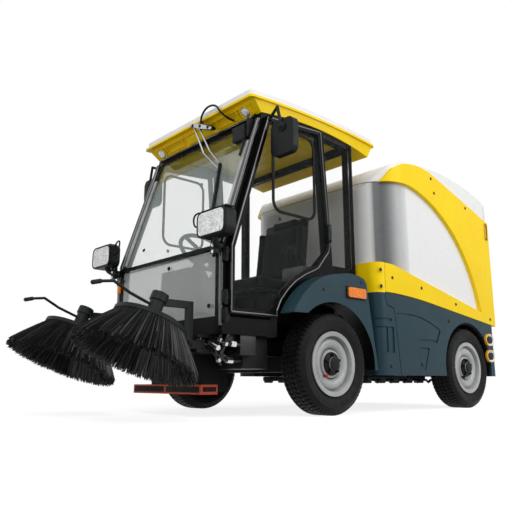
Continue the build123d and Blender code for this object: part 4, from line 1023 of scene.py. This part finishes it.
def front_corner(hand, side):
    """Glossy corner strip beside the lower pane, the headlamp's arm and the hinges."""
    bm = bmesh.new()
    tube(bm, [at(side * 570, -764, 944), at(side * 570, -764, 505)], 0.014, 14)
    piece(f"corner_strip_{hand}", bm, "chassis", "cab_black", PILLAR)
    bm = bmesh.new()
    tube(bm, curve_through([at(side * 618, -846, 992), at(side * 606, -836, 962), at(side * 578, -800, 938),
                            at(side * 560, -776, 932)], 6), 0.019, 14)
    for z in (560, 660, 905):
        slab(bm, at(side * 594, -748, z), (0.022, 0.044, 0.066), 0.005)
        tube(bm, [at(side * 606, -756, z - 42), at(side * 606, -756, z + 42)], 0.011, 12)
    piece(f"corner_hinges_{hand}", bm, "chassis", "black_plastic", PLASTIC)


# Rigid pipes under the cab's front, on the left: their points in millimetres
PIPES = [
    [(300, -700, 470), (330, -742, 452), (392, -748, 430),
     (440, -730, 396), (446, -690, 340), (420, -640, 300)],
    [(520, -700, 500), (548, -738, 470), (540, -746, 420),
     (496, -736, 380), (470, -690, 352), (470, -600, 344)],
    [(380, -690, 505), (420, -738, 490), (476, -744, 470),
     (520, -728, 436), (556, -690, 410), (560, -600, 404)],
    [(560, -680, 500), (572, -716, 450), (560, -724, 400),
     (520, -712, 360), (488, -660, 322), (500, -560, 318)],
]


def front_pipes(hand, side):
    """Valve block with rigid pipes, clamps and plated fittings under the front of the cab."""
    bm = bmesh.new()
    slab(bm, at(side * 428, -628, 452), (0.21, 0.13, 0.11), 0.006)
    slab(bm, at(side * 520, -560, 412), (0.10, 0.12, 0.13), 0.006)
    for row in PIPES:
        points = curve_through([at(side * x, y, z) for x, y, z in row], 8)
        tube(bm, points, 0.0105, 10)
        for k in (0, len(points) // 3, len(points) - 8):
            tube(bm, [points[k], points[k + 3]], 0.0165, 6, 1)
    tube(bm, [at(side * 420, -752, 432), at(side * 540, -752, 384)], 0.015, 14, 1)
    tube(bm, [at(side * 406, -752, 437), at(side * 470, -752, 412)], 0.023, 14)
    for y, z in ((-694, 480), (-694, 424)):
        for x in (360, 430, 500):
            dome_bolt(bm, at(side * x, y, z), (0, -1, 0), 0.011, 1)
    piece(f"front_pipes_{hand}", bm, "chassis", "chassis_black", PIPE, STEEL)


# Liner over a rear wheel: its radius, its lip's radius and its lines across, in metres
LINER_R, LINER_LIP = 0.338, 0.385
LINER_X = (0.520, 0.600, 0.680, 0.730)


def underside(hand, side):
    """Side tank, skid bar with its brackets and the liner over the rear wheel."""
    bm = bmesh.new()
    slab(bm, at(side * 400, -460, 372), (0.24, 0.20, 0.20), 0.02)
    slab(bm, at(side * 486, 930, 222), (0.10, 0.72, 0.036), 0.008)
    for y in (600, 760, 930, 1100, 1250):
        slab(bm, at(side * 500, y, 205), (0.060, 0.046, 0.030), 0.006)
        bow = [at(side * 545, y + along, z) for along, z in ((30, 214), (64, 196), (98, 214))]
        tube(bm, bow, 0.009, 8)
    piece(f"skid_bar_{hand}", bm, "chassis", "chassis_black", CHASSIS)
    bm = bmesh.new()
    low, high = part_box(f"rim_rear_{hand}")
    middle = (low + high) / 2
    middle.x = 0
    rows = []
    for k in range(33):
        turn = math.radians(-4 + 188 * k / 32)
        way = Vector((0, math.cos(turn), math.sin(turn)))
        places = [(x, LINER_R) for x in LINER_X] + [(LINER_X[-1], LINER_LIP)]
        rows.append([bm.verts.new(middle + way * r + Vector((side * x, 0, 0))) for x, r in places])
    for a, b in zip(rows, rows[1:]):
        for k in range(len(LINER_X)):
            bm.faces.new([a[k], a[k + 1], b[k + 1], b[k]])
    piece(f"arch_liner_{hand}", bm, "chassis", "black_plastic", SEAL)


# Rubber stud in a pane: radius and distance out, in metres
STUD = [(0.013, 0), (0.012, 0.005), (0.007, 0.008), (0, 0.008)]


def pane_studs():
    """Rubber studs in both front panes and the small side lamp beside the lower one."""
    bm = bmesh.new()
    for x, z in ((58, 893), (474, 621), (514, 909), (-480, 621), (-500, 880)):
        lathe(bm, STUD, at(x, -773, z), (0, -1, 0), 16)
    for x in (-314, 430):
        lathe(bm, STUD, at(x, -733, 1077), (0, -SCREEN_RISE, SCREEN_RUN), 16)
    piece("pane_studs", bm, "chassis", "black_plastic", SEAL)
    bm = bmesh.new()
    slab(bm, at(-556, -776, 829), (0.030, 0.016, 0.060), 0.006)
    piece("front_side_lamp", bm, "chassis", "amber_lens", AMBER)


screws()
nose_seam()
gate_trim()
pillar_box()
for hand, side in SIDES.items():
    latch(hand, side)
    pillar_trim(hand, side)
    door_trim(hand, side)
    door_edge(hand, side)
    front_corner(hand, side)
    front_pipes(hand, side)
    underside(hand, side)
pane_studs()
mouth_shade_strips()


# Studio

# Area lamps: place and size in metres, power in watts
LIGHTS = [
    ("key", (3.4, -3.6, 5.2), 4.0, 150),
    ("fill", (5.2, 2.2, 3.0), 4.0, 140),
    ("front", (-2.5, -5.0, 2.6), 3.5, 20),
    ("low", (1.2, -5.6, 0.5), 2.5, 30),
]


def seen_ray(nodes, links):
    """One for rays from the camera, in reflections and through glass, else nought."""
    path = nodes.new("ShaderNodeLightPath")
    last = path.outputs["Is Camera Ray"]
    for kind in ("Is Glossy Ray", "Is Transmission Ray"):
        either = nodes.new("ShaderNodeMath")
        either.operation = "MAXIMUM"
        links.new(last, either.inputs[0])
        links.new(path.outputs[kind], either.inputs[1])
        last = either.outputs[0]
    return last


def studio():
    """White floor and backdrop, soft light from above and from the left front."""
    world = bpy.data.worlds.new("studio")
    world.use_nodes = True
    bpy.context.scene.world = world
    nodes, links = world.node_tree.nodes, world.node_tree.links
    light = nodes["Background"]
    light.inputs["Color"].default_value = (1, 1, 1, 1)
    light.inputs["Strength"].default_value = 0.5
    clear = nodes.new("ShaderNodeBackground")
    clear.inputs["Color"].default_value = (1, 1, 1, 1)
    mix = nodes.new("ShaderNodeMixShader")
    links.new(seen_ray(nodes, links), mix.inputs["Fac"])
    links.new(light.outputs[0], mix.inputs[1])
    links.new(clear.outputs[0], mix.inputs[2])
    links.new(mix.outputs[0], nodes["World Output"].inputs["Surface"])

    bm = bmesh.new()
    bmesh.ops.create_grid(bm, x_segments=1, y_segments=1, size=30)
    mesh = bpy.data.meshes.new("floor")
    bm.to_mesh(mesh)
    bm.free()
    floor = bpy.data.objects.new("floor", mesh)
    bpy.context.scene.collection.objects.link(floor)
    finish = Finish("floor_white", (0.36, 0.36, 0.36), 0.9, Specular_IOR_Level=0.0)
    finish.tint(finish.noise(0.6), 0.99, 1.01)
    finish.set("Emission Color", (0.82, 0.82, 0.82, 1))
    finish.links.new(seen_ray(finish.nodes, finish.links), finish.shader.inputs["Emission Strength"])
    mesh.materials.append(finish.mat)

    for name, spot, size, power in LIGHTS:
        lamp = bpy.data.lights.new(name, "AREA")
        lamp.size = size
        lamp.energy = power
        obj = bpy.data.objects.new(name, lamp)
        obj.location = spot
        obj.rotation_euler = (Vector((0, 0, 1.0)) - Vector(spot)).to_track_quat("-Z", "Y").to_euler()
        bpy.context.scene.collection.objects.link(obj)


def camera():
    """The photograph's low three-quarter view from the left front."""
    data = bpy.data.cameras.new("camera")
    data.sensor_width = 36
    data.lens = 41.53
    obj = bpy.data.objects.new("camera", data)
    obj.location = at(3125, -2799, 205)
    obj.rotation_euler = (math.radians(90 + 11.95), 0, math.radians(48.033))
    bpy.context.scene.collection.objects.link(obj)
    bpy.context.scene.camera = obj


studio()
camera()
bpy.context.scene.view_settings.view_transform = "Standard"
